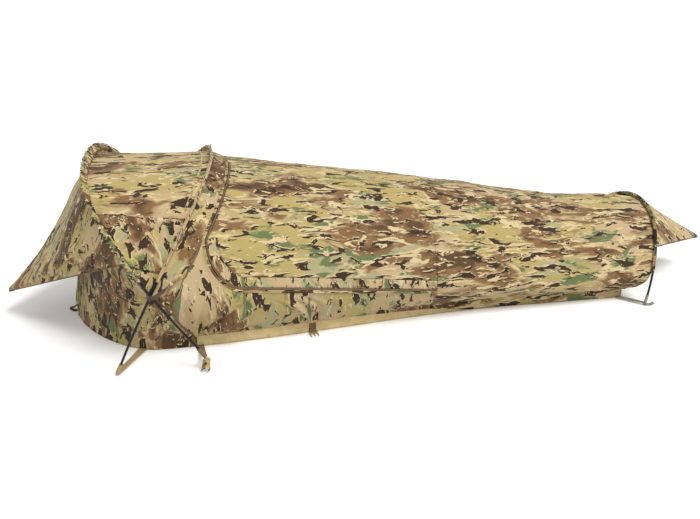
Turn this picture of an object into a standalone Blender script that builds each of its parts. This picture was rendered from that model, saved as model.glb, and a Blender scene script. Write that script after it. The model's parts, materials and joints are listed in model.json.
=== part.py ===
# Hooped bivvy tent for one sleeper, standing on three bent poles.
# Metres, +Z up. The ground is z = 0, +X runs from head to foot, and the door is on the -Y side.
# Near means the door side, far means the other side.

import math
from collections import namedtuple

import bmesh
import bpy
from mathutils import Matrix, Vector

for old in list(bpy.data.objects):
    bpy.data.objects.remove(old, do_unlink=True)

MM = 0.001

# Cloth, seams and webbing
CLOTH = 1.6 * MM
NET = 1.6 * MM
SEAM = 0.3 * MM
CORNER_SEAM = 1.3 * MM
CLEAR = 0.4 * MM
WEBBING = 1.6 * MM

# Groundsheet and its tub edge
HEAD_X = -1.215
SHOULDER_X = -0.84
TAPER_START_X = -0.78
TAPER_END_X = 0.75
FOOT_X = 1.31
CORNER_X = -0.675
SHOULDER_HALF = 0.455
FOOT_HALF = 0.31
HEAD_ROUNDNESS = 1.55
FLOOR = 3.0 * MM
TUB_HEIGHT = 0.05

# Poles and the sleeves that hold them
POLE_R = 4.5 * MM
SPIGOT_R = 3.0 * MM
SPIGOT_LENGTH = 0.04
SOCKET_SPARE = 0.002
POLE_GAP = 0.4 * MM
BORE_R = 5.4 * MM
SLEEVE_HALF = 6.8 * MM
SLEEVE_EDGE = 1.2 * MM
HEAD_SLEEVE_IN = 0.018
REAR_SLEEVE_OUT = 0.020
FRONT_SLEEVE_OUT = 0.026
FOOT_SLEEVE_IN = 0.011
FOOT_SLEEVE_OUT = 0.011
FOOT_SKIN_DROP = 2.6 * MM
POLE_SIDES = 8

# Hoops: where the feet stand, where the crown is, half the width, how square the arch is, and its bow
POLE_FOOT_Z = 0.014
BACK_FOOT_X = -0.98
BACK_CROWN_X = -0.566
BACK_CROWN_Z = 0.712
BACK_HALF = 0.64
BACK_ROUNDNESS = 2.3
BACK_BOW_SHARE = 0.27
HEAD_FOOT_X = -0.643
HEAD_FOOT_Z = 0.066
HEAD_CROWN_X = -1.079
HEAD_CROWN_Z = 0.707
HEAD_HALF = 0.656
HEAD_HOOP_ROUNDNESS = 2.85
HEAD_BOW_SHARE = -0.06
FOOT_POLE_REACH = 0.07
FOOT_CROWN_REACH = 0.202
FOOT_CROWN_Z = 0.394
FOOT_HOOP_HALF = 0.41
FOOT_HOOP_ROUNDNESS = 2.0
FOOT_BOW_SHARE = 0.5

# Door line: the seam behind the second head hoop, which carries the zip
DOOR_LINE_SHIFT = 0.056
DOOR_CROWN_SHIFT = 0.064
DOOR_CROWN_DROP = 0.045
DOOR_LINE_INSET = 0.025

# Heights along the hoops where one panel ends and the next begins
CROSSING_Z = 0.31
FOOT_TUCK_Z = 0.15
FLAP_HEM_BACK_Z = 0.407
FLAP_HEM_HEAD_Z = 0.452
ROOF_HEM_BACK_Z = 0.572
ROOF_HEM_HEAD_Z = 0.618

# Door outline, seen from the side
DOOR_PEAK_Z = 0.481
DOOR_CORNER_LONG = 0.172
DOOR_SILL_Z = 0.27
DOOR_END_X = 0.366
DOOR_END_Z = 0.157
DOOR_BAND = 0.055
BINDING = 0.010
BINDING_THICK = 2.4 * MM
ZIP_HALF_GAP = 5.0 * MM
CHAIN_HALF = 2.5 * MM
CHAIN_THICK = 2.0 * MM

# Slack of the tensioned cloth
SIDE_SAG = 0.035
RIDGE_SAG = 0.022
ROOF_SAG = 0.004
HEAD_BULGE = 0.012
FOOT_BULGE = 0.006

# Vent hoods
HEAD_TIP_REACH = 0.281
HEAD_TIP_Z = 0.124
HEAD_HOOD_DIP = 0.055
HEAD_TIP_HALF = 0.012
FOOT_TIP_REACH = 0.564
FOOT_TIP_Z = 0.161
FOOT_HOOD_Z = 0.255
FOOT_HOOD_DIP = 0.006
FOOT_TIP_HALF = 0.010
HOOD_WIRE_R = 1.6 * MM
WIRE_START = 0.005
HEAD_WALL_DROP = 1.8 * MM
HEAD_CORNER_DROP = 9.0 * MM
FOOT_WALL_INSET = 0.012

# Straps at the pole feet
STRAP_WIDTH = 0.025
POCKET_LONG = 0.042
TAIL_LONG = 0.046
TAIL_WIDTH = 0.016
KNOT = 0.020
TAIL_RISE = 1.6 * MM
TAIL_NECK_SHARE = 0.4
TAIL_THIN_SHARE = 0.4
POCKET_FLOOR = 0.008
STRAP_END_WIDTH = 0.008
STRAP_LOW_Z = 0.006
REAR_STRAP_BACK = 0.095
FRONT_STRAP_BACK = 0.015
FOOT_STRAP_BACK = 0.02

# Window flaps
FLAP_STANDOFF = 0.005
FLAP_MARGIN = 0.012
WINDOW_TIP_SHARE = 0.25

# Webbing that ties the crossed poles to the skin
CROSSING_TAB_Z = 0.325
CROSSING_TAB_WIDTH = 0.020
CROSSING_REACH = 0.018
CROSSING_FRONT = 0.0115
CROSSING_CORNER_SHARE = 0.6

# Loop for a peg at the head
PEG_LOOP_Z = 0.030
PEG_LOOP_LONG = 0.035

# Buckle tab on the tub edge
BUCKLE_X = -0.184
TAB_WIDTH = 0.032
TAB_TOP = 0.006
TAB_RUN = 0.008
BUCKLE_WIDTH = 0.040
BUCKLE_LONG = 0.042
BUCKLE_THICK = 0.005
BUCKLE_BAR = 0.005
BUCKLE_SLOT = 0.005
BUCKLE_ARM_SHARE = 0.3
BUCKLE_GUIDE_SHARE = 0.15
BUCKLE_GUIDE_LONG_SHARE = 0.85
BUCKLE_BARB_SHARE = 0.45

# Zip slider and pull
SLIDER_LONG = 0.014
SLIDER_WALL = 1.0 * MM
PULL_LONG = 0.024
PULL_WIDTH = 0.006
PULL_THICK = 1.2 * MM
PULL_NECK_SHARE = 0.5

# Number of facets along each stretch
LEG_COUNT = 4
CROSSING_COUNT = 2
WINDOW_COUNT = 3
ROOF_COUNT = 5
SIDE_COUNT = 6
DOOR_LOW_COUNT = 4
DOOR_HIGH_COUNT = 6
WALL_COUNT = 5
DOOR_ARC_COUNT = 5
DOOR_SILL_COUNT = 8
FOOT_TUBE_COUNT = 5
HOOD_COUNT = 4
TUB_COUNT = 13
HEAD_WALL_HALF_COUNT = 11
FOOT_WALL_COUNT = 4
VENT_COUNT = 3
HEAD_VENT_START = 6
FOOT_VENT_START = 7
FOOT_VENT_END = 9
STRAP_COUNT = 4
FOOT_LEG_COUNT = 3
FOOT_ARCH_COUNT = 8
HEAD_POLE_SECTIONS = 4
FOOT_POLE_SECTIONS = 3

# Sizes that follow from the ones above
Hoop = namedtuple("Hoop", "foot_x foot_z crown_x crown_z half roundness bow_share")
LEAN_BACK = Hoop(BACK_FOOT_X, POLE_FOOT_Z, BACK_CROWN_X, BACK_CROWN_Z, BACK_HALF, BACK_ROUNDNESS,
                 BACK_BOW_SHARE)
LEAN_HEAD = Hoop(HEAD_FOOT_X, HEAD_FOOT_Z, HEAD_CROWN_X, HEAD_CROWN_Z, HEAD_HALF, HEAD_HOOP_ROUNDNESS,
                 HEAD_BOW_SHARE)
FOOT_HOOP = Hoop(FOOT_X + FOOT_POLE_REACH, POLE_FOOT_Z, FOOT_X + FOOT_CROWN_REACH, FOOT_CROWN_Z,
                 FOOT_HOOP_HALF, FOOT_HOOP_ROUNDNESS, FOOT_BOW_SHARE)
DOOR_LINE = Hoop(BACK_FOOT_X + DOOR_LINE_SHIFT, 0.0, BACK_CROWN_X + DOOR_CROWN_SHIFT,
                 BACK_CROWN_Z - DOOR_CROWN_DROP, BACK_HALF - DOOR_LINE_INSET, BACK_ROUNDNESS, 0.0)
HEAD_TIP = Vector((HEAD_X - HEAD_TIP_REACH, 0.0, HEAD_TIP_Z))
FOOT_TIP = Vector((FOOT_X + FOOT_TIP_REACH, 0.0, FOOT_TIP_Z))
REAR_STRAP_X = BACK_FOOT_X + REAR_STRAP_BACK
FRONT_STRAP_X = CORNER_X + FRONT_STRAP_BACK
FOOT_STRAP_X = FOOT_X - FOOT_STRAP_BACK

NEAR = -1.0
FAR = 1.0
UP = Vector((0.0, 0.0, 1.0))
CROWN_ANGLE = math.pi / 2

TENT = bpy.data.collections.new("hooped_bivvy_tent")
bpy.context.scene.collection.children.link(TENT)


def finish(name, colour, roughness, metallic=0.0):
    """A Principled material of one plain colour."""
    material = bpy.data.materials.new(name)
    material.use_nodes = True
    shader = material.node_tree.nodes["Principled BSDF"]
    shader.inputs["Base Color"].default_value = (*colour, 1.0)
    shader.inputs["Roughness"].default_value = roughness
    shader.inputs["Metallic"].default_value = metallic
    material.diffuse_color = (*colour, 1.0)
    return material


CAMO = finish("camo_cloth", (0.42, 0.33, 0.17), 0.85)
TAN = finish("tan_coated_cloth", (0.46, 0.35, 0.18), 0.7)
MESH = finish("insect_net", (0.10, 0.10, 0.07), 0.9)
BROWN_TAPE = finish("brown_binding", (0.20, 0.13, 0.07), 0.8)
GREY_WEB = finish("grey_webbing", (0.30, 0.29, 0.25), 0.8)
ANODISED = finish("black_anodised_pole", (0.02, 0.02, 0.022), 0.35, 0.8)
PLASTIC = finish("brown_plastic", (0.16, 0.11, 0.06), 0.5)
WIRE = finish("hood_wire", (0.05, 0.05, 0.05), 0.5, 0.5)


# Small helpers for points and grids

def lerp(a, b, share):
    """The point a share of the way from a to b."""
    return a + (b - a) * share


def mirrored(point):
    """The same point on the other side of the tent."""
    return Vector((point.x, -point.y, point.z))


def spread(start, end, count):
    """Evenly spaced values from start to end, both ends included."""
    return [lerp(start, end, step / count) for step in range(count + 1)]


def transpose(grid):
    """Rows become columns."""
    return [list(column) for column in zip(*grid)]


def grid_normals(grid):
    """The surface normal at every point of a grid of points."""
    last_row = len(grid) - 1
    last_column = len(grid[0]) - 1
    normals = []
    for i, row in enumerate(grid):
        line = []
        for j, _ in enumerate(row):
            along = grid[i][min(j + 1, last_column)] - grid[i][max(j - 1, 0)]
            across = grid[min(i + 1, last_row)][j] - grid[max(i - 1, 0)][j]
            line.append(along.cross(across).normalized())
        normals.append(line)
    return normals


def raised(grid, distance):
    """The grid moved along its own normals."""
    normals = grid_normals(grid)
    return [[p + n * distance for p, n in zip(row, line)] for row, line in zip(grid, normals)]


def as_list(gap, count):
    """One gap for every point of an edge."""
    return list(gap) if isinstance(gap, (list, tuple)) else [gap] * count


def pull_back(grid, first_row=0.0, last_row=0.0, first_column=0.0, last_column=0.0):
    """Draws the edges of a grid inwards, each towards its inner neighbour."""
    out = [[p.copy() for p in row] for row in grid]
    rows = len(grid)
    columns = len(grid[0])
    edges = (
        (as_list(first_row, columns), [(0, j, 1, j) for j in range(columns)]),
        (as_list(last_row, columns), [(rows - 1, j, rows - 2, j) for j in range(columns)]),
        (as_list(first_column, rows), [(i, 0, i, 1) for i in range(rows)]),
        (as_list(last_column, rows), [(i, columns - 1, i, columns - 2) for i in range(rows)]),
    )
    for gaps, places in edges:
        for gap, (i, j, inner_i, inner_j) in zip(gaps, places):
            out[i][j] += (grid[inner_i][inner_j] - grid[i][j]).normalized() * gap
    return out


# Making objects

def link(name, mesh, material, anchor):
    """Places a mesh of world points as an object whose origin is the anchor."""
    mesh.transform(Matrix.Translation(-anchor))
    body = bpy.data.objects.new(name, mesh)
    body.location = anchor
    body.data.materials.append(material)
    TENT.objects.link(body)
    return body


def mesh_from(name, points, faces):
    """A mesh from points and faces, with its faces turned to agree."""
    mesh = bpy.data.meshes.new(name)
    mesh.from_pydata([tuple(p) for p in points], [], faces)
    shaped = bmesh.new()
    shaped.from_mesh(mesh)
    bmesh.ops.recalc_face_normals(shaped, faces=shaped.faces)
    shaped.to_mesh(mesh)
    shaped.free()
    return mesh


def panel(name, grid, material, thickness=CLOTH, hole=None, anchor=None):
    """A cloth panel: a grid surface, with a hole of left out cells if given, made solid by Solidify."""
    rows = len(grid)
    columns = len(grid[0])
    points = [p for row in grid for p in row]
    faces = []
    for i in range(rows - 1):
        for j in range(columns - 1):
            if hole and hole[0] <= i < hole[1] and hole[2] <= j < hole[3]:
                continue
            corner = i * columns + j
            faces.append((corner, corner + 1, corner + columns + 1, corner + columns))
    mesh = bpy.data.meshes.new(name)
    mesh.from_pydata([tuple(p) for p in points], [], faces)
    loose = bmesh.new()
    loose.from_mesh(mesh)
    bmesh.ops.delete(loose, geom=[v for v in loose.verts if not v.link_faces], context="VERTS")
    loose.to_mesh(mesh)
    loose.free()
    middle = grid[rows // 2][columns // 2]
    body = link(name, mesh, material, middle.copy() if anchor is None else anchor)
    solid = body.modifiers.new("thickness", "SOLIDIFY")
    solid.thickness = thickness
    solid.offset = 0.0
    body.data.shade_smooth()
    return body


def ribbon(name, path, sideways, width, material, thickness=WEBBING, anchor=None):
    """A flat strap along a path; sideways is one direction, or one for each point."""
    directions = sideways if isinstance(sideways, list) else [sideways] * len(path)
    grid = [[p - d * width / 2, p + d * width / 2] for p, d in zip(path, directions)]
    return panel(name, grid, material, thickness, anchor=anchor)


def plate(name, outlines, thickness, material, matrix):
    """A flat plate: closed outlines in the local XY plane, extruded to both sides."""
    curve = bpy.data.curves.new(name, "CURVE")
    curve.dimensions = "2D"
    curve.fill_mode = "BOTH"
    curve.extrude = thickness / 2
    for outline in outlines:
        spline = curve.splines.new("POLY")
        spline.points.add(len(outline) - 1)
        for point, (x, y) in zip(spline.points, outline):
            point.co = (x, y, 0.0, 1.0)
        spline.use_cyclic_u = True
    body = bpy.data.objects.new(name, curve)
    body.matrix_world = matrix
    curve.materials.append(material)
    TENT.objects.link(body)
    return body


# Hoops

def arch_radius(half, rise, roundness, angle):
    """Distance from the middle of a squared arch to its edge, at an angle from the near side."""
    side = abs(math.cos(angle) / half) ** roundness
    top = abs(math.sin(angle) / rise) ** roundness
    return (side + top) ** (-1 / roundness)


def hoop_point(hoop, angle, inset=0.0):
    """A point on a hoop, or on the arch a little inside it; angle 0 is the near foot."""
    half = hoop.half - inset
    rise = hoop.crown_z - hoop.foot_z - inset
    radius = arch_radius(half, rise, hoop.roundness, angle)
    height = radius * math.sin(angle)
    share = height / rise
    lean = lerp(share, share * share, hoop.bow_share)
    return Vector((lerp(hoop.foot_x, hoop.crown_x, lean), -radius * math.cos(angle), hoop.foot_z + height))


def angle_at(hoop, z, inset=0.0):
    """The angle of the near side at which an arch reaches a height."""
    low, high = 0.0, CROWN_ANGLE
    for _ in range(40):
        middle = (low + high) / 2
        if hoop_point(hoop, middle, inset).z < z:
            low = middle
        else:
            high = middle
    return (low + high) / 2


def hoop_angles(hoop, heights, counts):
    """Angles from the near foot to the crown, evenly spread between the named heights."""
    marks = [0.0] + [angle_at(hoop, z) for z in heights] + [CROWN_ANGLE]
    angles = [0.0]
    for start, end, count in zip(marks, marks[1:], counts):
        angles += spread(start, end, count)[1:]
    return angles


def both_sides(angles):
    """Near angles up to the crown, then the same angles down the far side."""
    return angles + [math.pi - a for a in reversed(angles[:-1])]


HEAD_COUNTS = (LEG_COUNT, CROSSING_COUNT, WINDOW_COUNT, ROOF_COUNT)
BACK_ANGLES = hoop_angles(LEAN_BACK, (CROSSING_Z, FLAP_HEM_BACK_Z, ROOF_HEM_BACK_Z), HEAD_COUNTS)
HEAD_ANGLES = hoop_angles(LEAN_HEAD, (CROSSING_Z, FLAP_HEM_HEAD_Z, ROOF_HEM_HEAD_Z), HEAD_COUNTS)
FOOT_ANGLES = hoop_angles(FOOT_HOOP, (FOOT_TUCK_Z,), (FOOT_LEG_COUNT, FOOT_ARCH_COUNT))
CROSSING = LEG_COUNT
FLAP_HEM = CROSSING + CROSSING_COUNT
ROOF_HEM = FLAP_HEM + WINDOW_COUNT
CROWN = ROOF_HEM + ROOF_COUNT

Ring = namedtuple("Ring", "centre outward across")


def hoop_rings(hoop, angles):
    """Centre, outward and sideways directions at every station of a hoop, foot to foot."""
    turns = both_sides(angles)
    centres = [hoop_point(hoop, a) for a in turns]
    inner = [hoop_point(hoop, a, POLE_R) for a in turns]
    rings = []
    for i, centre in enumerate(centres):
        before = centres[max(i - 1, 0)]
        after = centres[min(i + 1, len(centres) - 1)]
        along = (after - before).normalized()
        outward = centre - inner[i]
        outward -= along * outward.dot(along)
        outward.normalize()
        rings.append(Ring(centre, outward, along.cross(outward).normalized()))
    return rings


BACK_RINGS = hoop_rings(LEAN_BACK, BACK_ANGLES)
HEAD_RINGS = hoop_rings(LEAN_HEAD, HEAD_ANGLES)
FOOT_RINGS = hoop_rings(FOOT_HOOP, FOOT_ANGLES)


def ring_between(rings, distance):
    """The ring at a distance along the line of ring centres."""
    for start, end in zip(rings, rings[1:]):
        length = (end.centre - start.centre).length
        if distance <= length:
            share = distance / length
            return Ring(*(lerp(a, b, share) for a, b in zip(start, end)))
        distance -= length
    return rings[-1]


def path_length(rings):
    """Length of the line through the ring centres."""
    return sum((b.centre - a.centre).length for a, b in zip(rings, rings[1:]))


def circle(ring, radius):
    """Points round a pole at one ring."""
    turns = [2 * math.pi * (k + 0.5) / POLE_SIDES for k in range(POLE_SIDES)]
    return [ring.centre + (ring.outward * math.cos(t) + ring.across * math.sin(t)) * radius for t in turns]


def bent_turning(name, rings, profile, material):
    """A turned profile of (distance, radius) pairs, bent along a hoop and closed at both ends."""
    loops = [circle(ring_between(rings, distance), radius) for distance, radius in profile]
    points = [p for loop in loops for p in loop]
    faces = []
    for i in range(len(loops) - 1):
        for k in range(POLE_SIDES):
            follow = (k + 1) % POLE_SIDES
            low = i * POLE_SIDES
            high = low + POLE_SIDES
            faces.append((low + k, low + follow, high + follow, high + k))
    faces.append(tuple(range(POLE_SIDES)))
    last = (len(loops) - 1) * POLE_SIDES
    faces.append(tuple(range(last, last + POLE_SIDES)))
    mesh = mesh_from(name, points, faces)
    return link(name, mesh, material, ring_between(rings, profile[0][0]).centre.copy())


def pole_sections(prefix, rings, count):
    """A hoop pole as sections that plug together, each with a socket and a spigot at its ends."""
    whole = path_length(rings)
    stations = [0.0]
    for start, end in zip(rings, rings[1:]):
        stations.append(stations[-1] + (end.centre - start.centre).length)
    for number in range(count):
        start = whole * number / count + (POLE_GAP / 2 if number else 0.0)
        end = whole * (number + 1) / count - (POLE_GAP / 2 if number < count - 1 else 0.0)
        profile = []
        if number:
            depth = start + SPIGOT_LENGTH + SOCKET_SPARE
            inside = [d for d in stations if start < d < depth]
            profile = [(d, SPIGOT_R + POLE_GAP) for d in [depth] + inside[::-1] + [start]]
        profile.append((start, POLE_R))
        profile += [(d, POLE_R) for d in stations if start < d < end]
        profile.append((end, POLE_R))
        if number < count - 1:
            tip = end + SPIGOT_LENGTH
            inside = [d for d in stations if end < d < tip]
            profile += [(d, SPIGOT_R) for d in [end] + inside + [tip]]
        bent_turning(f"{prefix}_{number + 1}", rings, profile, ANODISED)


def sleeve(name, rings, inner, outer, material):
    """A flat cloth sleeve sewn to the skin along its inner edge, with a channel for the pole."""
    section = [
        (-inner, -SLEEVE_EDGE), (-BORE_R, -SLEEVE_HALF), (BORE_R, -SLEEVE_HALF), (outer, -SLEEVE_EDGE),
        (outer, SLEEVE_EDGE), (BORE_R, SLEEVE_HALF), (-BORE_R, SLEEVE_HALF), (-inner, SLEEVE_EDGE),
    ]
    turns = [math.atan2(across, radial) for radial, across in section]
    points = []
    for ring in rings:
        points += [ring.centre + ring.outward * r + ring.across * a for r, a in section]
        points += [ring.centre + (ring.outward * math.cos(t) + ring.across * math.sin(t)) * BORE_R
                   for t in sleeve_turns(turns)]
    count = len(section)
    faces = []
    for i in range(len(rings) - 1):
        here = i * 2 * count
        there = here + 2 * count
        for k in range(count):
            follow = (k + 1) % count
            faces.append((here + k, here + follow, there + follow, there + k))
            inner_here = here + count
            inner_there = there + count
            faces.append((inner_here + k, inner_there + k, inner_there + follow, inner_here + follow))
    last = (len(rings) - 1) * 2 * count
    for k in range(count):
        follow = (k + 1) % count
        faces.append((k, k + count, follow + count, follow))
        faces.append((last + k, last + follow, last + follow + count, last + k + count))
    mesh = mesh_from(name, points, faces)
    return link(name, mesh, material, rings[len(rings) // 2].centre.copy())


def sleeve_turns(turns):
    """Channel corners that stand at the same turns as the pole's own flats, in the sleeve's order."""
    step = 2 * math.pi / POLE_SIDES
    first = -math.pi + step / 2
    return [first + step * k for k in range(len(turns))]


# Skin lines that the panels share

SKIN_INSET = HEAD_SLEEVE_IN + CLEAR + CLOTH / 2
FOOT_INSET = FOOT_SLEEVE_IN + FOOT_SKIN_DROP


def floor_half(x):
    """Half the width of the groundsheet at a place along its length."""
    if x < SHOULDER_X:
        share = (SHOULDER_X - x) / (SHOULDER_X - HEAD_X)
        return SHOULDER_HALF * max(0.0, 1 - share ** HEAD_ROUNDNESS) ** (1 / HEAD_ROUNDNESS)
    share = min(1.0, max(0.0, (x - TAPER_START_X) / (TAPER_END_X - TAPER_START_X)))
    return lerp(SHOULDER_HALF, FOOT_HALF, share * share * (3 - 2 * share))


def floor_edge(x, z):
    """A point over the near edge of the groundsheet."""
    return Vector((x, -floor_half(x), z))


def head_floor(share):
    """Near edge of the groundsheet from the corner, share 0, round to the head tip, share 1."""
    straight = SHOULDER_X - CORNER_X
    whole = abs(straight) + math.pi / 2 * (SHOULDER_X - HEAD_X)
    bend = abs(straight) / whole
    if share <= bend:
        return lerp(CORNER_X, SHOULDER_X, share / bend)
    turn = (share - bend) / (1 - bend) * math.pi / 2
    return SHOULDER_X - (SHOULDER_X - HEAD_X) * math.sin(turn) ** (2 / HEAD_ROUNDNESS)


SEAM_START = hoop_point(DOOR_LINE, angle_at(DOOR_LINE, CROSSING_Z))
DOOR_LINE_ANGLES = (
    spread(angle_at(DOOR_LINE, CROSSING_Z), angle_at(DOOR_LINE, DOOR_PEAK_Z), DOOR_LOW_COUNT)
    + spread(angle_at(DOOR_LINE, DOOR_PEAK_Z), CROWN_ANGLE, DOOR_HIGH_COUNT)[1:]
)
DOOR_SEAM = [hoop_point(DOOR_LINE, a) for a in DOOR_LINE_ANGLES]

BACK_SKIN = [hoop_point(LEAN_BACK, a, SKIN_INSET) for a in BACK_ANGLES]
HEAD_SKIN = [hoop_point(LEAN_HEAD, a, SKIN_INSET) for a in HEAD_ANGLES]


# The tube between the door line and the foot hoop: s runs to the foot, t from the tub to the ridge

TUCK_T = 0.3
WALL_ROUND_SHARE = 0.16
RIDGE_SAG_START_SHARE = 0.45
TUCK_ANGLE = angle_at(DOOR_LINE, CROSSING_Z)
FOOT_TUCK_ANGLE = angle_at(FOOT_HOOP, FOOT_TUCK_Z, FOOT_INSET)


def upper_tube(s, rise):
    """A point of the tube above the tuck; rise 0 is the tuck, 1 the ridge."""
    start = hoop_point(DOOR_LINE, lerp(TUCK_ANGLE, CROWN_ANGLE, rise))
    end = hoop_point(FOOT_HOOP, lerp(FOOT_TUCK_ANGLE, CROWN_ANGLE, rise), FOOT_INSET)
    point = lerp(start, end, s)
    slack = 4 * s * (1 - s)
    side = math.cos(rise * math.pi / 2)
    point.y += SIDE_SAG * slack * side
    foot_share = max(0.0, (s - RIDGE_SAG_START_SHARE) / (1 - RIDGE_SAG_START_SHARE))
    point.z -= RIDGE_SAG * math.sin(foot_share * math.pi) ** 2
    return point


def tube_point(s, t):
    """A point of the near half of the tube."""
    if t >= TUCK_T:
        return upper_tube(s, (t - TUCK_T) / (1 - TUCK_T))
    tuck = upper_tube(s, 0.0)
    step = 0.02
    tangent = (upper_tube(s, step) - tuck) / step
    bottom = floor_edge(lerp(CORNER_X, FOOT_X, s), TUB_HEIGHT)
    middle = tuck - tangent * WALL_ROUND_SHARE
    share = t / TUCK_T
    return lerp(lerp(bottom, middle, share), lerp(middle, tuck, share), share)


def tube_at(x, z):
    """The s and t at which the near side of the tube passes through x and z in side view."""
    s, t = 0.3, TUCK_T
    for _ in range(60):
        low, high = 0.0, 1.0
        for _ in range(24):
            t = (low + high) / 2
            if tube_point(s, t).z < z:
                low = t
            else:
                high = t
        s = along_tube(x, t)
    return s, t


def along_tube(x, t):
    """The s at which the line of constant t reaches x."""
    start = tube_point(0.0, t).x
    end = tube_point(1.0, t).x
    return (x - start) / (end - start)


def tube_normal(s, t):
    """Outward normal of the near half of the tube."""
    step = 0.01
    along = tube_point(min(s + step, 1.0), t) - tube_point(max(s - step, 0.0), t)
    upward = tube_point(s, min(t + step, 1.0)) - tube_point(s, max(t - step, 0.0))
    return along.cross(upward).normalized()


# Door outline: up the door line from the peak, round the lower corner and along the sill

PEAK = DOOR_SEAM[DOOR_LOW_COUNT]
ARC_CENTRE_X = PEAK.x + DOOR_CORNER_LONG
SILL_START_ST = tube_at(ARC_CENTRE_X, DOOR_SILL_Z)
SILL_END_ST = tube_at(DOOR_END_X, DOOR_END_Z)
SILL_START = tube_point(*SILL_START_ST)
SILL_END = tube_point(*SILL_END_ST)


def arc_place(turn, shrink=0.0):
    """Side view place on the rounded lower corner of the door; turn 0 is the peak, 1 the sill."""
    angle = turn * math.pi / 2
    x = ARC_CENTRE_X - (DOOR_CORNER_LONG - shrink) * math.cos(angle)
    z = DOOR_PEAK_Z - (DOOR_PEAK_Z - DOOR_SILL_Z - shrink) * math.sin(angle)
    return x, z


ARC = [tube_point(*tube_at(*arc_place(turn))) for turn in spread(0.0, 1.0, DOOR_ARC_COUNT)[1:-1]]
SILL = [lerp(SILL_START, SILL_END, share) for share in spread(0.0, 1.0, DOOR_SILL_COUNT)]
LOWER_OUTLINE = [PEAK] + ARC + SILL
ZIP_LINE = DOOR_SEAM[:DOOR_LOW_COUNT:-1] + LOWER_OUTLINE


RIDGE_GUARD_Z = DOOR_LINE.crown_z - CLOTH


def inward_directions(line):
    """Directions in the cloth, square to the zip line and towards the door."""
    directions = []
    for i, point in enumerate(line):
        along = line[min(i + 1, len(line) - 1)] - line[max(i - 1, 0)]
        normal = tube_normal(*tube_at(point.x, point.z)) if point.z < RIDGE_GUARD_Z else UP
        directions.append(normal.cross(along).normalized())
    return directions


BAND_END_T = tube_at(DOOR_END_X, DOOR_END_Z + DOOR_BAND)[1]
BAND_END = tube_point(along_tube(DOOR_END_X, BAND_END_T), BAND_END_T)
ZIP_INWARD = inward_directions(ZIP_LINE)[:-1] + [(BAND_END - SILL_END).normalized()]


def zip_offset(distance):
    """The zip line moved in the cloth, towards the door where the distance is positive."""
    return [p + d * distance for p, d in zip(ZIP_LINE, ZIP_INWARD)]


WALL_LIP = zip_offset(-ZIP_HALF_GAP)
BINDING_OUT = zip_offset(ZIP_HALF_GAP)
BINDING_IN = zip_offset(ZIP_HALF_GAP + BINDING)
DOOR_LIP = zip_offset(ZIP_HALF_GAP + BINDING + SEAM * 2)
DOOR_HINGE_START = DOOR_SEAM[-1] + UP * CLOTH / 2


# Rows of the wall and tube panels, as values of t from the tub to the ridge

PEAK_T = lerp(TUCK_T, 1.0, (DOOR_LINE_ANGLES[DOOR_LOW_COUNT] - TUCK_ANGLE) / (CROWN_ANGLE - TUCK_ANGLE))
FAR_ROWS = spread(0.0, TUCK_T, WALL_COUNT) + [
    lerp(TUCK_T, 1.0, (a - TUCK_ANGLE) / (CROWN_ANGLE - TUCK_ANGLE)) for a in DOOR_LINE_ANGLES[1:]]
NEAR_ROWS = spread(0.0, SILL_END_ST[1], WALL_COUNT) + spread(BAND_END_T, 1.0, DOOR_HIGH_COUNT)


def on_side(grid, side):
    """The grid as drawn for the near side, or mirrored to the far side."""
    return grid if side == NEAR else [[mirrored(p) for p in row] for row in grid]


# Groundsheet and tub

def groundsheet():
    """Flat floor with a rounded head and a narrow straight foot."""
    head = [head_floor(share) for share in spread(1.0, 0.0, HEAD_WALL_HALF_COUNT)]
    side = spread(CORNER_X, FOOT_X, TUB_COUNT)[1:]
    near_edge = [(x, -floor_half(x)) for x in head + side]
    far_edge = [(x, -y) for x, y in reversed(near_edge[1:])]
    plate("groundsheet", [near_edge + far_edge], FLOOR, TAN, Matrix.Translation((0.0, 0.0, FLOOR / 2)))


def tub_edges():
    """Upright coated strips along the sides and the foot of the groundsheet."""
    levels = (FLOOR + SEAM, TUB_HEIGHT - SEAM)
    xs = spread(CORNER_X, FOOT_X, TUB_COUNT)
    for label, side in (("near", NEAR), ("far", FAR)):
        grid = [[floor_edge(x, z) + Vector((0.0, CLOTH / 2, 0.0)) for x in xs] for z in levels]
        grid = pull_back(grid, first_column=SEAM, last_column=CLOTH + SEAM)
        panel(f"{label}_tub_edge", on_side(grid, side), TAN)
    ys = spread(-FOOT_HALF, FOOT_HALF, SIDE_COUNT)
    panel("foot_tub_edge", [[Vector((FOOT_X - CLOTH / 2, y, z)) for y in ys] for z in levels], TAN)


# Walls and tube

def near_lower_wall():
    """Side wall under the door, from the tub up to the door line, the lower corner and the sill."""
    crests = DOOR_SEAM[:DOOR_LOW_COUNT] + WALL_LIP[DOOR_HIGH_COUNT:]
    last = len(crests) - 1
    end_s = along_tube(DOOR_END_X, 0.0)
    columns = []
    for k, crest in enumerate(crests):
        crest_s, crest_t = 0.0, lerp(TUCK_T, PEAK_T, k / DOOR_LOW_COUNT)
        if k > DOOR_LOW_COUNT:
            crest_s, crest_t = tube_at(crest.x, crest.z)
        foot_s = end_s * k / last
        rises = spread(0.0, 1.0, WALL_COUNT)
        column = [tube_point(lerp(foot_s, crest_s, rise), crest_t * rise) for rise in rises]
        miss = crest - column[-1]
        columns.append([p + miss * rise * rise for p, rise in zip(column, rises)])
    grid = transpose(columns)
    panel("near_lower_wall", pull_back(grid, SEAM, SEAM, SEAM, SEAM), CAMO)


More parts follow.
